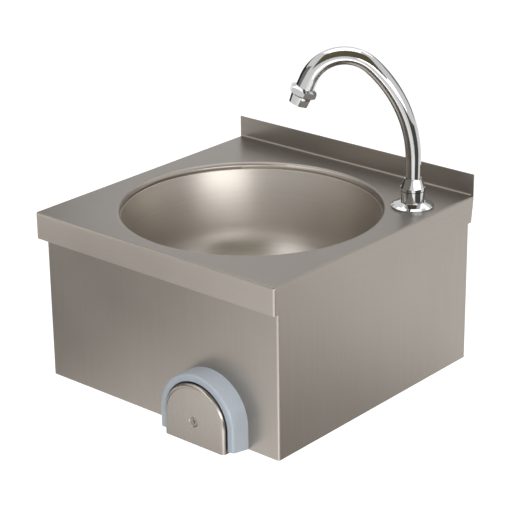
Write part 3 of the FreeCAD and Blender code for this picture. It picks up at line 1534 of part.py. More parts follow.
def make_aerator():
    """Screwed-in outlet: housing, its plastic insert and the washer above it."""
    body = new_body("aerator_housing", nozzle_frame)
    bottom = nozzle_length + aerator_length
    inner = aerator_radius - 2 * aerator_wall
    seat = bottom - insert_recess - insert_length
    turn(body, [
        (inner, aerator_start), (aerator_neck, aerator_start), (aerator_neck, nozzle_length),
        (aerator_top_radius, nozzle_length), (aerator_radius, bottom), (inner, bottom)])
    flats = new_sketch(body, "flats", "XY_Plane", nozzle_length + aerator_flat_start)
    room = aerator_top_radius + overrun
    add_rectangle(flats, -room, aerator_flat, room, room)
    add_rectangle(flats, -room, -room, room, -aerator_flat)
    pocket(body, flats, aerator_length - aerator_flat_start, "wrench_flats")
    insert = new_body("aerator_insert", nozzle_frame)
    turn(insert, box_points(0, seat, inner - thread_fit, bottom - insert_recess))
    holes = new_sketch(insert, "holes", "XY_Plane", seat)
    add_circle(holes, insert_hole_ring, 0, insert_hole_radius)
    jet = pocket(insert, holes, insert_length, "jet")
    polar(insert, holes, jet, insert_holes, "jets")
    washer_top = aerator_start - aerator_washer_thickness
    turned_part("aerator_washer", nozzle_frame, box_points(
        inner - aerator_washer_ledge, washer_top, aerator_neck, aerator_start))


# ---------------------------------------------------------------- the waste

def make_waste_flange():
    """Stainless strainer in the bowl's drain recess."""
    rim_top = -bowl_depth
    rim_foot = rim_top - waste_flange_thickness
    cup_floor = rim_top - waste_cup_depth
    cup_inner = waste_cup_radius - waste_flange_thickness
    body = new_body("waste_flange", bowl_frame)
    turn(body, [
        (0, cup_floor - waste_flange_thickness), (waste_cup_radius, cup_floor - waste_flange_thickness),
        (waste_cup_radius, rim_foot), (waste_flange_radius, rim_foot),
        (waste_flange_radius, rim_top), (cup_inner, rim_top), (cup_inner, cup_floor), (0, cup_floor)])
    groove(body, box_points(0, cup_floor - waste_flange_thickness - overrun,
                            waste_screw_radius + thread_fit, cup_floor + overrun), "screw_hole")
    rings = (("inner", strainer_inner_ring, strainer_inner_holes),
             ("outer", strainer_outer_ring, strainer_outer_holes))
    for name, ring, count in rings:
        sketch = new_sketch(body, name + "_ring", "XY_Plane", cup_floor - waste_flange_thickness)
        add_circle(sketch, ring, 0, strainer_hole_radius)
        hole = pocket(body, sketch, waste_flange_thickness, name + "_hole")
        polar(body, sketch, hole, count, name + "_holes")
    return body


def make_waste_gaskets():
    """Rubber rings above and below the bowl's sheet."""
    inner = waste_hole_radius + waste_gasket_set_back
    turned_part("waste_gasket", bowl_frame, box_points(
        inner, recess_floor, waste_flange_radius, recess_floor + waste_gasket_thickness))
    under = recess_floor - steel
    turned_part("waste_seal", bowl_frame, box_points(
        inner, under - waste_seal_thickness, waste_flange_radius, under))


def make_waste_body():
    """Plastic body below the bowl, narrowing to the threaded tail."""
    body = new_body("waste_body", bowl_frame)
    top = recess_floor - steel - waste_seal_thickness
    flange_foot = top - waste_body_flange
    cup_inner = waste_hole_radius
    cup_outer = cup_inner + waste_body_wall
    cup_foot = top - waste_body_depth
    cone_foot = cup_foot - waste_cone_height
    tail_foot = cone_foot - waste_tail_length
    tail_inner = waste_tail_radius - waste_tail_wall
    turn(body, [
        (cup_inner, top), (waste_flange_radius, top), (waste_flange_radius, flange_foot),
        (cup_outer, flange_foot), (cup_outer, cup_foot), (waste_tail_radius, cone_foot),
        (waste_tail_radius, tail_foot), (tail_inner, tail_foot), (tail_inner, cone_foot),
        (cup_inner, cup_foot)])
    boss_top = -bowl_depth - waste_cup_depth - waste_flange_thickness
    boss_foot = boss_top - waste_boss_length
    rib = new_sketch(body, "rib", "XY_Plane", boss_foot)
    half = waste_rib_thickness / 2
    add_rectangle(rib, 0, -half, cup_inner + waste_body_wall / 2, half)
    rib_pad = pad(body, rib, waste_boss_length / 2, "rib_pad")
    polar(body, rib, rib_pad, 3, "ribs")
    turn(body, box_points(0, boss_foot, waste_boss_radius, boss_top), "boss")
    groove(body, box_points(0, boss_foot - overrun, waste_screw_radius + thread_fit, boss_top + overrun),
           "screw_hole")
    return body


def make_waste_screw():
    """Cheese-head screw that pulls the strainer and the body together."""
    seat = -bowl_depth - waste_cup_depth
    top = seat + waste_screw_dome
    return turned_part("waste_screw", bowl_frame, [
        (0, seat - waste_boss_length), (waste_screw_radius, seat - waste_boss_length),
        (waste_screw_radius, seat), (waste_screw_head, seat),
        (waste_screw_head, seat + waste_screw_dome / 2), (waste_screw_radius, top), (0, top)])


# ---------------------------------------------------------------- the whole

def make_all():
    """Every sub-part, from the sheet metal inwards."""
    make_deck()
    make_bowl()
    make_skirt()
    make_hanging_rail()
    make_wall_bracket()
    make_wall_pads()
    make_knee_guard()
    make_guard_screws()
    make_knee_cap()
    make_cap_core()
    make_cap_screw()
    make_push_rod()
    make_return_spring()
    make_valve_plate()
    make_valve_body()
    make_rod_seals()
    make_stem_stack()
    make_panel_nut()
    make_mixing_tee()
    make_tee_gasket()
    make_check_valve("cold", cold_frame)
    make_check_valve("hot", hot_frame)
    make_mixed_water_pipe()
    make_pipe_joints()
    make_tap_flange()
    make_tap_gasket()
    make_tap_body()
    make_spout_seals()
    make_tap_fixing()
    make_swivel_nut()
    make_spout_ring()
    make_spout_tube()
    make_nozzle_collar()
    make_aerator()
    make_waste_flange()
    make_waste_gaskets()
    make_waste_body()
    make_waste_screw()


def check_all():
    """Stop if any object failed or any sub-part is not sound."""
    for item in doc.Objects:
        if "Invalid" in item.State or "Error" in item.State:
            raise ValueError("%s failed: %s" % (item.Label, item.State))
    for part in sub_parts:
        if part.Shape.isNull() or not part.Shape.isValid():
            raise ValueError("%s has no sound shape" % part.Label)


def write_all():
    """Write each sub-part to its own STEP file."""
    os.makedirs("parts", exist_ok=True)
    for part in sub_parts:
        part.Shape.exportStep("parts/%s.step" % part.Label)
        box = part.Shape.BoundBox
        print("%-20s %d solid(s) %9.0f mm3  x %.1f..%.1f y %.1f..%.1f z %.1f..%.1f" % (
            part.Label, len(part.Shape.Solids), part.Shape.Volume,
            box.XMin, box.XMax, box.YMin, box.YMax, box.ZMin, box.ZMax))


make_all()
doc.recompute()
check_all()
write_all()
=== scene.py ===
import json
import math

import bmesh
import bpy
from mathutils import Matrix, Vector


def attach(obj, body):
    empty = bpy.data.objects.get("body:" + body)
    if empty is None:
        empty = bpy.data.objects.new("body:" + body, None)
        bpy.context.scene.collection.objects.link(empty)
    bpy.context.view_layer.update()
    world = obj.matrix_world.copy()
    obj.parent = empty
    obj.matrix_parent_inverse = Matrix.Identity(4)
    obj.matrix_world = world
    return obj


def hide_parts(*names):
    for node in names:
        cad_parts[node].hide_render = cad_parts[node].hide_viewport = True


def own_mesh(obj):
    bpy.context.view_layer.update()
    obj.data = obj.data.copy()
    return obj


# Wall-hung stainless steel hand wash sink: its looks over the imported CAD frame. Lengths are in metres.
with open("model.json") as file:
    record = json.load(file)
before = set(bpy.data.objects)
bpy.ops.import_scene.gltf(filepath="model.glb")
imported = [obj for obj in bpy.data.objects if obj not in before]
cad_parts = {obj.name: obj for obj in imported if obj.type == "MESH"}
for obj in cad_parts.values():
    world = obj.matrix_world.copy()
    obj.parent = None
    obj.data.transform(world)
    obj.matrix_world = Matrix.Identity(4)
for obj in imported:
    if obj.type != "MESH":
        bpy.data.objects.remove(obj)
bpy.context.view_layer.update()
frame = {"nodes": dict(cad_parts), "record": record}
nodes = frame["nodes"]

# Places from the CAD
BOWL = Vector((0, -0.2095, 0.045))
KNEE = Vector((0.086, -0.3875, -0.155))
TAP = Vector((0.1607, -0.08, 0.045))
INLET_Y = -0.2975
INLETS = (("cold", 0.108), ("hot", 0.064))
APRON_TOP = 0.0445

FORWARD, BACKWARD, UPWARD, DOWNWARD = (0, -1, 0), (0, 1, 0), (0, 0, 1), (0, 0, -1)

# Studio
CAMERA_PLACE = (1.51231, -1.93701, 0.89689)
CAMERA_ANGLES = (41.068, 21.869, -0.7323)
CAMERA_LENS = 134.13
FLOOR_Z, FLOOR_WIDTH = -0.62, 12
FLOOR_SHADE, FLOOR_GLOW = 0.7, 0.62
FILL_COLOR, FILL_STRENGTH = (1, 0.99, 0.97), 0.55
MIDDLE = (0, -0.2, 0)
LIGHTS = (
    # name, place, width, height, watts
    ("window", (1.9, -1.0, 0.47), 1.7, 0.6, 14),
    ("key", (0.25, -1.55, 1.75), 1.2, 1.2, 8),
    ("top", (-0.4, 0.2, 2.4), 2.4, 2.4, 22),
)
CARDS = (
    # name, place, target, width, height, shade
    ("left_card", (-0.85, -0.98, -0.52), (0, -0.45, -0.1), 0.75, 0.4, (0.14, 0.13, 0.12)),
    ("far_left_card", (-1.3, -1.6, 0.75), (0, -0.2, 0), 1.6, 0.8, (0.28, 0.26, 0.24)),
    ("right_card", (1.6, -0.12, -0.26), (0.16, -0.12, -0.26), 1.6, 0.72, (0.10, 0.10, 0.09)),
    ("arch_card", (0.30, -0.36, 0.52), (0.1, -0.12, 0.24), 0.8, 0.6, (0.16, 0.135, 0.08)),
    ("back_rim_card", (0.1, 1.3, 1.5), (0.1, -0.1, 0.05), 0.7, 0.5, (2.5, 2.5, 2.5)),
    ("edge_card", (0.9, -1.1, -0.6), (0.9, -1.1, 0), 0.9, 0.8, (2.6, 2.6, 2.6)),
    ("behind_card", (0.2, 1.7, 0.5), (0.15, -0.1, 0.2), 1.6, 0.9, (0.28, 0.28, 0.27)),
    ("left_floor_card", (-1.35, -1.15, -0.61), (-1.35, -1.15, 0), 1.1, 1.2, (0.44, 0.41, 0.38)),
    ("right_floor_card", (0.7, 0.2, -0.61), (0.7, 0.2, 0), 0.9, 0.8, (0.35, 0.33, 0.3)),
    ("bowl_card", (-1.4, -0.1, 0.35), (0, -0.2, 0.05), 1.5, 0.8, (0.05, 0.045, 0.04)),
)

# Colours
STEEL = (0.375, 0.342, 0.308)
BOWL_STEEL = (0.495, 0.46, 0.42)
CHROME = (0.55, 0.555, 0.555)
RUBBER = (0.035, 0.034, 0.033)
FIBRE = (0.36, 0.12, 0.08)

# Least share of a normal along an axis for a face that looks that way
FACING = 0.7


# ---------------------------------------------------------------- camera and studio

def add_object(name, data):
    """Link an object that holds some data."""
    obj = bpy.data.objects.new(name, data)
    bpy.context.scene.collection.objects.link(obj)
    return obj


def empty_tree(block):
    """The cleared node tree of a material or world."""
    block.use_nodes = True
    block.node_tree.nodes.clear()
    return block.node_tree


def make_camera():
    """The camera fitted to the photograph's edges."""
    azimuth, elevation, roll = (math.radians(a) for a in CAMERA_ANGLES)
    across = Vector((math.cos(azimuth), math.sin(azimuth), 0))
    back = Vector((math.sin(azimuth) * math.cos(elevation), -math.cos(azimuth) * math.cos(elevation),
                   math.sin(elevation)))
    up = back.cross(across)
    right = across * math.cos(roll) + up * math.sin(roll)
    top = up * math.cos(roll) - across * math.sin(roll)
    data = bpy.data.cameras.new("camera")
    data.sensor_width = 36
    data.lens = CAMERA_LENS
    data.clip_start, data.clip_end = 0.05, 50
    camera = add_object("camera", data)
    turn = Matrix((right, top, back)).transposed().to_4x4()
    camera.matrix_world = Matrix.Translation(CAMERA_PLACE) @ turn
    bpy.context.scene.camera = camera


def aim(obj, place, target):
    """Put an object at a place with its -Z towards a target."""
    place, target = Vector(place), Vector(target)
    turn = (target - place).to_track_quat("-Z", "Y").to_matrix().to_4x4()
    obj.matrix_world = Matrix.Translation(place) @ turn


def add_light(name, place, width, height, watts):
    """A rectangular soft light on the sink's middle."""
    data = bpy.data.lights.new(name, "AREA")
    data.shape = "RECTANGLE"
    data.size, data.size_y = width, height
    data.energy = watts
    aim(add_object(name, data), place, MIDDLE)


def white_rays(tree):
    """A factor of 1 on the rays that show the background as white."""
    rays = tree.nodes.new("ShaderNodeLightPath")
    factor = rays.outputs["Is Camera Ray"]
    for kind in ("Is Glossy Ray", "Is Transmission Ray"):
        either = tree.nodes.new("ShaderNodeMath")
        either.operation = "MAXIMUM"
        tree.links.new(factor, either.inputs[0])
        tree.links.new(rays.outputs[kind], either.inputs[1])
        factor = either.outputs[0]
    return factor


def make_world():
    """White to the eye and in reflections, and a plain fill on the object."""
    world = bpy.data.worlds.new("studio")
    bpy.context.scene.world = world
    tree = empty_tree(world)
    mix = tree.nodes.new("ShaderNodeMixShader")
    tree.links.new(white_rays(tree), mix.inputs[0])
    for i, (color, strength) in enumerate(((FILL_COLOR, FILL_STRENGTH), ((1, 1, 1), 1))):
        background = tree.nodes.new("ShaderNodeBackground")
        background.inputs["Color"].default_value = (*color, 1)
        background.inputs["Strength"].default_value = strength
        tree.links.new(background.outputs[0], mix.inputs[i + 1])
    out = tree.nodes.new("ShaderNodeOutputWorld")
    tree.links.new(mix.outputs[0], out.inputs[0])


def add_rectangle(name, width, height, z=0.0):
    """A level rectangle of the studio, with a material of its own, and that material's empty tree."""
    w, h = width / 2, height / 2
    mesh = bpy.data.meshes.new(name)
    mesh.from_pydata([(-w, -h, z), (w, -h, z), (w, h, z), (-w, h, z)], [], [(0, 1, 2, 3)])
    material = bpy.data.materials.new(name)
    mesh.materials.append(material)
    return add_object(name, mesh), empty_tree(material)


def add_card(name, place, target, width, height, shade):
    """A studio card that only shows in reflections."""
    card, tree = add_rectangle(name, width, height)
    aim(card, place, target)
    glow = tree.nodes.new("ShaderNodeEmission")
    glow.inputs["Color"].default_value = (*shade, 1)
    out = tree.nodes.new("ShaderNodeOutputMaterial")
    tree.links.new(glow.outputs[0], out.inputs[0])
    card.visible_camera = False
    card.visible_diffuse = False
    card.visible_shadow = False


def make_floor():
    """A pale floor below the sink that reads white, keeps its shadow and is clear from below."""
    floor, tree = add_rectangle("floor", FLOOR_WIDTH, FLOOR_WIDTH, FLOOR_Z)
    matt = tree.nodes.new("ShaderNodeBsdfDiffuse")
    matt.inputs["Color"].default_value = (FLOOR_SHADE, FLOOR_SHADE, FLOOR_SHADE, 1)
    glow = tree.nodes.new("ShaderNodeEmission")
    glow.inputs["Strength"].default_value = FLOOR_GLOW
    both = tree.nodes.new("ShaderNodeAddShader")
    face = tree.nodes.new("ShaderNodeNewGeometry")
    clear = tree.nodes.new("ShaderNodeBsdfTransparent")
    side = tree.nodes.new("ShaderNodeMixShader")
    out = tree.nodes.new("ShaderNodeOutputMaterial")
    tree.links.new(white_rays(tree), glow.inputs["Color"])
    tree.links.new(matt.outputs[0], both.inputs[0])
    tree.links.new(glow.outputs[0], both.inputs[1])
    tree.links.new(face.outputs["Backfacing"], side.inputs[0])
    tree.links.new(both.outputs[0], side.inputs[1])
    tree.links.new(clear.outputs[0], side.inputs[2])
    tree.links.new(side.outputs[0], out.inputs[0])


def make_studio():
    """Soft lights, and cards that give the metal something to mirror."""
    bpy.context.scene.view_settings.view_transform = "Standard"
    make_world()
    make_floor()
    for light in LIGHTS:
        add_light(*light)
    for card in CARDS:
        add_card(*card)


# ---------------------------------------------------------------- materials

class Look:
    """A procedural material being wired up."""

    def __init__(self, name, color, metallic, roughness):
        self.material = bpy.data.materials.new(name)
        self.tree = empty_tree(self.material)
        self.shader = self.tree.nodes.new("ShaderNodeBsdfPrincipled")
        out = self.tree.nodes.new("ShaderNodeOutputMaterial")
        self.join(self.shader.outputs[0], out.inputs["Surface"])
        self.shader.inputs["Base Color"].default_value = (*color, 1)
        self.shader.inputs["Metallic"].default_value = metallic
        self.shader.inputs["Roughness"].default_value = roughness
        self.color = color
        coordinates = self.tree.nodes.new("ShaderNodeTexCoord")
        self.place = coordinates.outputs["Object"]
        self.normal = coordinates.outputs["Normal"]

    def join(self, source, target):
        """Link two sockets."""
        self.tree.links.new(source, target)

    def feed(self, socket, value):
        """Link a socket or set its constant."""
        if isinstance(value, bpy.types.NodeSocket):
            self.join(value, socket)
        else:
            socket.default_value = value

    def math(self, operation, *values):
        """A math node's result."""
        node = self.tree.nodes.new("ShaderNodeMath")
        node.operation = operation
        for socket, value in zip(node.inputs, values):
            self.feed(socket, value)
        return node.outputs[0]

    def add(self, a, b):
        """The sum of two values."""
        return self.math("ADD", a, b)

    def times(self, a, b):
        """The product of two values."""
        return self.math("MULTIPLY", a, b)

    def pick(self, flag, off, on):
        """One value where the flag is 0 and another where it is 1."""
        return self.add(self.times(off, self.math("SUBTRACT", 1.0, flag)), self.times(on, flag))

    def weigh(self, a, share_a, b, share_b):
        """The sum of two values, each with its share."""
        return self.add(self.times(a, share_a), self.times(b, share_b))

    def faces(self, normal):
        """1 where a normal's part along an axis is large, either way."""
        return self.math("GREATER_THAN", self.math("ABSOLUTE", normal), FACING)

    def split(self, vector):
        """The x, y and z of a vector."""
        node = self.tree.nodes.new("ShaderNodeSeparateXYZ")
        self.join(vector, node.inputs[0])
        return node.outputs

    def combine(self, x, y, z):
        """A vector from three values."""
        node = self.tree.nodes.new("ShaderNodeCombineXYZ")
        for socket, value in zip(node.inputs, (x, y, z)):
            self.feed(socket, value)
        return node.outputs[0]

    def stretch(self, vector, scale):
        """A vector scaled along each axis."""
        node = self.tree.nodes.new("ShaderNodeVectorMath")
        node.operation = "MULTIPLY"
        self.join(vector, node.inputs[0])
        node.inputs[1].default_value = scale
        return node.outputs[0]

    def noise(self, vector, scale, detail=2.0, roughness=0.5):
        """A noise value, about 0.5 in the middle."""
        node = self.tree.nodes.new("ShaderNodeTexNoise")
        self.join(vector, node.inputs["Vector"])
        node.inputs["Scale"].default_value = scale
        node.inputs["Detail"].default_value = detail
        node.inputs["Roughness"].default_value = roughness
        return node.outputs[0]

    def spread(self, value, low, high, start=0.3, end=0.7):
        """A value carried from one range to another."""
        node = self.tree.nodes.new("ShaderNodeMapRange")
        self.join(value, node.inputs["Value"])
        for name, number in (("From Min", start), ("From Max", end), ("To Min", low), ("To Max", high)):
            node.inputs[name].default_value = number
        return node.outputs[0]

    def tint(self, factor, dark, light):
        """Base colour between a dark and a light share of the plain colour."""
        node = self.tree.nodes.new("ShaderNodeMix")
        node.data_type = "RGBA"
        self.feed(node.inputs["Factor"], factor)
        for name, share in (("A", dark), ("B", light)):
            shade = [s for s in node.inputs if s.name == name and s.type == "RGBA"][0]
            shade.default_value = (*(min(1, c * share) for c in self.color), 1)
        result = [s for s in node.outputs if s.type == "RGBA"][0]
        self.join(result, self.shader.inputs["Base Color"])

    def rough(self, factor, low, high):
        """Roughness that follows a factor from 0 to 1."""
        self.join(self.spread(factor, low, high, 0, 1), self.shader.inputs["Roughness"])

    def bump(self, height, distance):
        """Raise the surface by a height of 0 to 1 times a distance."""
        node = self.tree.nodes.new("ShaderNodeBump")
        self.join(height, node.inputs["Height"])
        node.inputs["Distance"].default_value = distance
        node.inputs["Strength"].default_value = 1.0
        self.join(node.outputs[0], self.shader.inputs["Normal"])


def brushed_panels(name, upright, roughness=0.36, cap_painted_shade=False):
    """Brushed sheet: grain upright on the skirt, along the edges on the deck, with painted shade on the
    deck top and the knee cap's foot and painted light on the apron front.
    """
    look = Look(name, STEEL, 1.0, roughness)
    x, y, z = look.split(look.place)
    nx, ny, nz = look.split(look.normal)
    side, top = look.faces(nx), look.faces(nz)
    level = look.pick(side, x, y)
    if upright:
        along_grain, across_grain = z, level
    else:
        along_grain, across_grain = level, look.pick(top, z, y)
    apart = look.times(side, 0.37)
    way = look.combine(along_grain, across_grain, apart)
    fine = look.noise(look.stretch(way, (9, 1500, 1)), 1.0, 3.0, 0.6)
    broad = look.noise(look.stretch(way, (1.5, 120, 1)), 1.0)
    clouds = look.noise(look.place, 7.0)
    grain = look.weigh(fine, 0.85, broad, 0.15)
    contrast = 0.02 if cap_painted_shade else 0.04
    shade = look.spread(grain, 0.5 - contrast, 0.5 + contrast, 0.35, 0.65)
    if not upright:
        # Painted shade and light: the flat top is painted darker, and the front of the apron is painted
        # lighter towards the left
        shade = look.math("SUBTRACT", shade, look.times(top, 0.35))
        front = look.math("LESS_THAN", ny, -FACING)
        below_top = look.math("LESS_THAN", z, APRON_TOP)
        painted_left_light = look.math("SUBTRACT", 0.36, look.times(x, 0.9))
        shade = look.add(shade, look.times(look.times(front, below_top), painted_left_light))
    if cap_painted_shade:
        # Painted shade: the knee cap is painted darker at its foot than at its head
        shade = look.add(shade, look.spread(z, -0.3, 0.25, -0.2, -0.1))
    look.tint(shade, 0.5, 1.5)
    wear = look.weigh(grain, 0.5, clouds, 0.5)
    look.rough(look.spread(wear, 0, 1, 0.35, 0.65), roughness - 0.03, roughness + 0.04)
    look.bump(fine, 0.00002)
    return look.material


def spun_steel(name, color, centre, roughness):
    """Satin steel with the rings that spinning and polishing leave."""
    look = Look(name, color, 1.0, roughness)
    x, y, z = look.split(look.place)
    dx = look.math("SUBTRACT", x, centre.x)
    dy = look.math("SUBTRACT", y, centre.y)
    reach = look.math("SQRT", look.add(look.times(dx, dx), look.times(dy, dy)))
    path = look.combine(reach, z, 0.0)
    rings = look.noise(look.stretch(path, (1300, 1300, 1)), 1.0, 3.0, 0.6)
    bands = look.noise(look.stretch(path, (90, 90, 1)), 1.0)
    clouds = look.noise(look.place, 9.0, 3.0)
    grain = look.weigh(rings, 0.5, bands, 0.5)
    look.tint(look.spread(grain, 0, 1, 0.35, 0.65), 0.94, 1.06)
    wear = look.weigh(grain, 0.5, clouds, 0.5)
    look.rough(look.spread(wear, 0, 1, 0.35, 0.65), roughness - 0.03, roughness + 0.05)
    look.bump(rings, 0.00002)
    return look.material


def plain_metal(name, color, roughness, mottling=0.06):
    """Cast, drawn or turned metal with slight staining."""
    look = Look(name, color, 1.0, roughness)
    stains = look.noise(look.place, 55.0, 4.0, 0.6)
    marks = look.noise(look.place, 700.0)
    look.tint(look.spread(stains, 0, 1), 1 - mottling, 1 + mottling)
    both = look.weigh(stains, 0.6, marks, 0.4)
    look.rough(look.spread(both, 0, 1), roughness * 0.8, roughness * 1.25)
    look.bump(marks, 0.00003)
    return look.material


def chrome(name):
    """Bright plating with faint water marks."""
    look = Look(name, CHROME, 1.0, 0.05)
    marks = look.noise(look.place, 60.0, 4.0, 0.6)
    look.tint(look.spread(marks, 0, 1), 0.97, 1.03)
    look.rough(look.spread(marks, 0, 1, 0.4, 0.75), 0.04, 0.08)
    look.bump(look.noise(look.place, 25.0, 1.0), 0.00002)
    return look.material


def plastic(name, color, roughness, pebble):
    """Moulded plastic with a fine pebbled skin."""
    look = Look(name, color, 0.0, roughness)
    skin = look.noise(look.place, 1600.0)
    flow = look.noise(look.place, 30.0, 3.0)
    look.tint(look.spread(flow, 0, 1), 0.96, 1.04)
    look.rough(look.spread(skin, 0, 1), roughness - 0.05, roughness + 0.06)
    look.bump(skin, pebble)
    return look.material


def rubber(name):
    """Matt black rubber with bloom."""
    look = Look(name, RUBBER, 0.0, 0.75)
    bloom = look.noise(look.place, 120.0, 4.0, 0.65)
    look.tint(look.spread(bloom, 0, 1), 0.8, 1.5)
    look.rough(look.spread(bloom, 0, 1), 0.65, 0.85)
    look.bump(look.noise(look.place, 900.0), 0.00005)
    return look.material


def fibre(name):
    """Pressed red fibre."""
    look = Look(name, FIBRE, 0.0, 0.8)
    strands = look.noise(look.stretch(look.place, (900, 250, 900)), 1.0, 3.0)
    look.tint(look.spread(strands, 0, 1), 0.75, 1.25)
    look.rough(look.spread(strands, 0, 1), 0.7, 0.9)
    look.bump(strands, 0.0001)
    return look.material


def make_looks():
    """One material for each slot of the record, and one for the deck."""
    return {
        "deck_steel": brushed_panels("deck_steel", False),
        "sheet_steel": brushed_panels("sheet_steel", True),
        "bowl_steel": spun_steel("bowl_steel", BOWL_STEEL, BOWL, 0.37),
        "cap_steel": brushed_panels("cap_steel", True, 0.28, True),
        "chrome": chrome("chrome"),
        "guard_plastic": plastic("guard_plastic", (0.46, 0.515, 0.575), 0.3, 0.00004),
        "bracket_steel": plain_metal("bracket_steel", (0.40, 0.40, 0.39), 0.42),
        "screw_steel": plain_metal("screw_steel", (0.28, 0.26, 0.23), 0.3),
        "spring_steel": plain_metal("spring_steel", (0.42, 0.41, 0.39), 0.3),
        "brass": plain_metal("brass", (0.60, 0.43, 0.19), 0.28, 0.1),
        "copper": plain_metal("copper", (0.62, 0.30, 0.17), 0.3, 0.14),
        "black_plastic": plastic("black_plastic", (0.03, 0.03, 0.032), 0.5, 0.00005),
        "white_plastic": plastic("white_plastic", (0.72, 0.72, 0.70), 0.4, 0.00003),
        "rubber": rubber("rubber"),
        "fibre": fibre("fibre"),
    }


def dress_nodes(looks):
    """Give every CAD node the material of its slot."""
    for part in frame["record"]["subparts"]:
        slot = "deck_steel" if part["node"] == "deck" else part["material_slot"]
        slots = nodes[part["node"]].data.materials
        slots.clear()
        slots.append(looks[slot])


# ---------------------------------------------------------------- mesh helpers

def mesh_object(name, bm):
    """An object that holds a bmesh with its faces turned outwards."""
    bmesh.ops.recalc_face_normals(bm, faces=bm.faces)
    mesh = bpy.data.meshes.new(name)
    bm.to_mesh(mesh)
    bm.free()
    return add_object(name, mesh)


def finish_piece(name, bm, looks, slot, body, angle):
    """Turn a bmesh into a shaded piece that rides on a body."""
    piece = mesh_object(name, bm)
    mesh = piece.data
    mesh.materials.append(looks[slot])
    mesh.polygons.foreach_set("use_smooth", [True] * len(mesh.polygons))
    mesh.set_sharp_from_angle(angle=math.radians(angle))
    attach(piece, body)
    return piece


def set_up(place, axis):
    """Matrix that takes the origin to a place and local +Z to an axis."""
    turn = Vector(UPWARD).rotation_difference(Vector(axis)).to_matrix().to_4x4()
    return Matrix.Translation(place) @ turn


def spoke(step, steps):
    """Cosine and sine of one step of a full turn."""
    angle = 2 * math.pi * step / steps
    return math.cos(angle), math.sin(angle)


def skin(bm, rings):
    """Faces between rings of points. A ring may be a single point."""
    for a, b in zip(rings, rings[1:]):
        count = max(len(a), len(b))
        for j in range(count):
            k = (j + 1) % count
            if len(a) == 1:
                bm.faces.new((a[0], b[j], b[k]))
            elif len(b) == 1:
                bm.faces.new((a[j], a[k], b[0]))
            else:
                bm.faces.new((a[j], a[k], b[k], b[j]))


def coil(looks, name, place, radius, wire, turns, low, high, axis):
    """A compression spring with closed end turns, between two seats along an axis."""
    steps, sides = 40, 12
    closed = 0.75
    rise = (high - low - 2 * wire - 4 * wire * closed) / turns

    def height(turn):
        if turn < closed:
            return turn * 2 * wire
        if turn > closed + turns:
            return closed * 2 * wire + turns * rise + (turn - closed - turns) * 2 * wire
        return closed * 2 * wire + (turn - closed) * rise

    bm = bmesh.new()
    rings = []
    for i in range(int((turns + 2 * closed) * steps) + 1):
        turn = i / steps
        angle = 2 * math.pi * (turn - closed)
        east, north = math.cos(angle), math.sin(angle)
        out = Vector((east, north, 0))
        centre = Vector((radius * east, radius * north, low + wire + height(turn)))
        ring = []
        for j in range(sides):
            c, s = spoke(j, sides)
            ring.append(bm.verts.new(centre + out * wire * c + Vector((0, 0, wire * s))))
        rings.append(ring)
    skin(bm, rings)
    bm.faces.new(rings[0])
    bm.faces.new(list(reversed(rings[-1])))
    bm.transform(set_up(place, axis))
    return finish_piece(name, bm, looks, "spring_steel", "basin", 50)


def thread(looks, name, place, axis, radius, pitch, low, high, slot):
    """The ridges of a parallel thread round a plain cylinder."""
    steps, rows_per_turn = 48, 6
    sink, height = 0.00005, pitch * 0.22
    rows = int((high - low) / pitch * rows_per_turn)
    bm = bmesh.new()
    rings = []
    for i in range(rows + 1):
        z = low + (high - low) * i / rows
        fade = min(1, (z - low) / pitch, (high - z) / pitch)
        ring = []
        for j in range(steps):
            share = (z / pitch - j / steps) % 1
            ridge = 1 - abs(2 * share - 1)
            r = radius - sink + height * max(0, min(1, ridge * 1.6 - 0.3)) * fade
            c, s = spoke(j, steps)
            ring.append(bm.verts.new((r * c, r * s, z)))
        rings.append(ring)
    skin(bm, rings)
    bm.transform(set_up(place, axis))
    finish_piece(name, bm, looks, slot, "basin", 50)


def lathe(profile):
    """A closed turned solid from (radius, height) points, its ends on the axis."""
    steps = 64
    bm = bmesh.new()
    rings = []
    for r, z in profile:
        if r == 0:
            rings.append([bm.verts.new((0, 0, z))])
        else:
            spokes = (spoke(j, steps) for j in range(steps))
            rings.append([bm.verts.new((r * c, r * s, z)) for c, s in spokes])
    skin(bm, rings)
    return bm


def recess_cutter(name, half_length, half_width, angle, top, depth):
    """A slot's tapering cutter, whose floor lies at a depth below a screw's top."""
    overshoot = 0.001
    floor_length, floor_width = 0.45, 0.7
    corners = ((-1, -1), (1, -1), (1, 1), (-1, 1))
    turn = Matrix.Rotation(math.radians(angle), 3, "Z")
    bm = bmesh.new()
    low = [bm.verts.new(turn @ Vector((x * half_length * floor_length, y * half_width * floor_width,
                                       top - depth))) for x, y in corners]
    high = [bm.verts.new(turn @ Vector((x * half_length, y * half_width, top + overshoot)))
            for x, y in corners]
    bm.faces.new(low)
    bm.faces.new(high)
    skin(bm, (low, high))
    return mesh_object(name, bm)


def screw(looks, name, place, axis, profile, slots, depth, body, spin):
    """A turned screw with slots in its head, each a (half length, half width, angle)."""
    blank = mesh_object(name + "_blank", lathe(profile))
    top = max(z for r, z in profile)
    cutters = []
    for half_length, half_width, angle in slots:
        cutters.append(recess_cutter(name + "_cutter", half_length, half_width, angle, top, depth))
        cut = blank.modifiers.new("recess", "BOOLEAN")
        cut.operation = "DIFFERENCE"
        cut.solver = "EXACT"
        cut.object = cutters[-1]
    bpy.context.view_layer.update()
    result = blank.evaluated_get(bpy.context.evaluated_depsgraph_get())
    bm = bmesh.new()
    bm.from_mesh(result.to_mesh())
    result.to_mesh_clear()
    for obj in cutters + [blank]:
        bpy.data.objects.remove(obj)
    bm.transform(set_up(place, axis) @ Matrix.Rotation(math.radians(spin), 4, "Z"))
    return finish_piece(name, bm, looks, "screw_steel", body, 25)


# ---------------------------------------------------------------- pieces

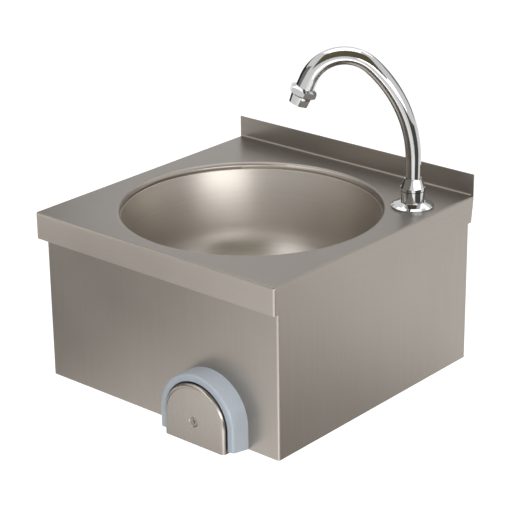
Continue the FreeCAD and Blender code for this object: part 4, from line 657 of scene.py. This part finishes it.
def make_springs(looks):
    """Springs of the CAD coils' size, drawn with closed ends."""
    spring = coil(looks, "return_spring_coil", KNEE, radius=0.0155, wire=0.0008, turns=3,
                  low=0.0085, high=0.0238, axis=FORWARD)
    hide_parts("return_spring")
    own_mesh(spring)
    for side, x in INLETS:
        spring = coil(looks, side + "_poppet_coil", (x, INLET_Y, KNEE.z), radius=0.0042, wire=0.0004,
                      turns=4, low=0.019, high=0.035, axis=BACKWARD)
        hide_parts(side + "_poppet_spring")
        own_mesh(spring)


def make_threads(looks):
    """Thread ridges where no nut covers them."""
    half_inch = {"radius": 0.01048, "pitch": 0.001814}
    for side, x in INLETS:
        thread(looks, side + "_inlet_thread", (x, INLET_Y, KNEE.z), BACKWARD, **half_inch,
               low=0.0325, high=0.0478, slot="brass")
    thread(looks, "waste_tail_thread", BOWL, DOWNWARD, radius=0.0239, pitch=0.002309,
           low=0.192, high=0.2143, slot="white_plastic")
    thread(looks, "tap_shank_thread", TAP, DOWNWARD, **half_inch,
           low=0.0115, high=0.0465, slot="chrome")


def make_screws(looks):
    """Screws with their driving recesses."""
    front = 0.0317
    cap_profile = [(0, front - 0.012), (0.0025, front - 0.012), (0.0025, front - 0.0031),
                   (0.0056, front - 0.0002), (0.00545, front), (0, front)]
    cap_slots = [(0.0031, 0.00065, 0), (0.0031, 0.00065, 90)]
    cap = screw(looks, "cap_screw_crossed", KNEE, FORWARD, cap_profile, cap_slots, 0.0022, "knee_push", 20)
    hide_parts("cap_screw")

    seat = -0.161
    waste_profile = [(0, seat - 0.014), (0.003, seat - 0.014), (0.003, seat), (0.006, seat),
                     (0.006, seat + 0.0013), (0.0055, seat + 0.002), (0.004, seat + 0.0027),
                     (0.002, seat + 0.003), (0, seat + 0.003)]
    waste_slots = [(0.0075, 0.0007, 0)]
    waste = screw(looks, "waste_screw_slotted", BOWL, UPWARD, waste_profile, waste_slots, 0.0015,
                  "basin", 35)
    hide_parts("waste_screw")

    ring, angle = 0.05525, math.radians(38)
    head = 0.0036
    guard_profile = [(0, -0.0116), (0.00175, -0.0099), (0.00175, 0.0012), (0.0035, 0.0012),
                     (0.0035, 0.0026), (0.0031, 0.0033), (0.0022, head), (0, head)]
    guard_slots = [(0.0021, 0.00045, 0), (0.0021, 0.00045, 90)]
    for side, way in (("left", -1), ("right", 1)):
        place = KNEE + Vector((way * ring * math.cos(angle), 0, ring * math.sin(angle)))
        screw(looks, "guard_screw_" + side, place, BACKWARD, guard_profile, guard_slots,
                            0.0016, "basin", 15)
    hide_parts("guard_screws")


make_camera()
make_studio()
looks = make_looks()
dress_nodes(looks)
make_springs(looks)
make_threads(looks)
make_screws(looks)
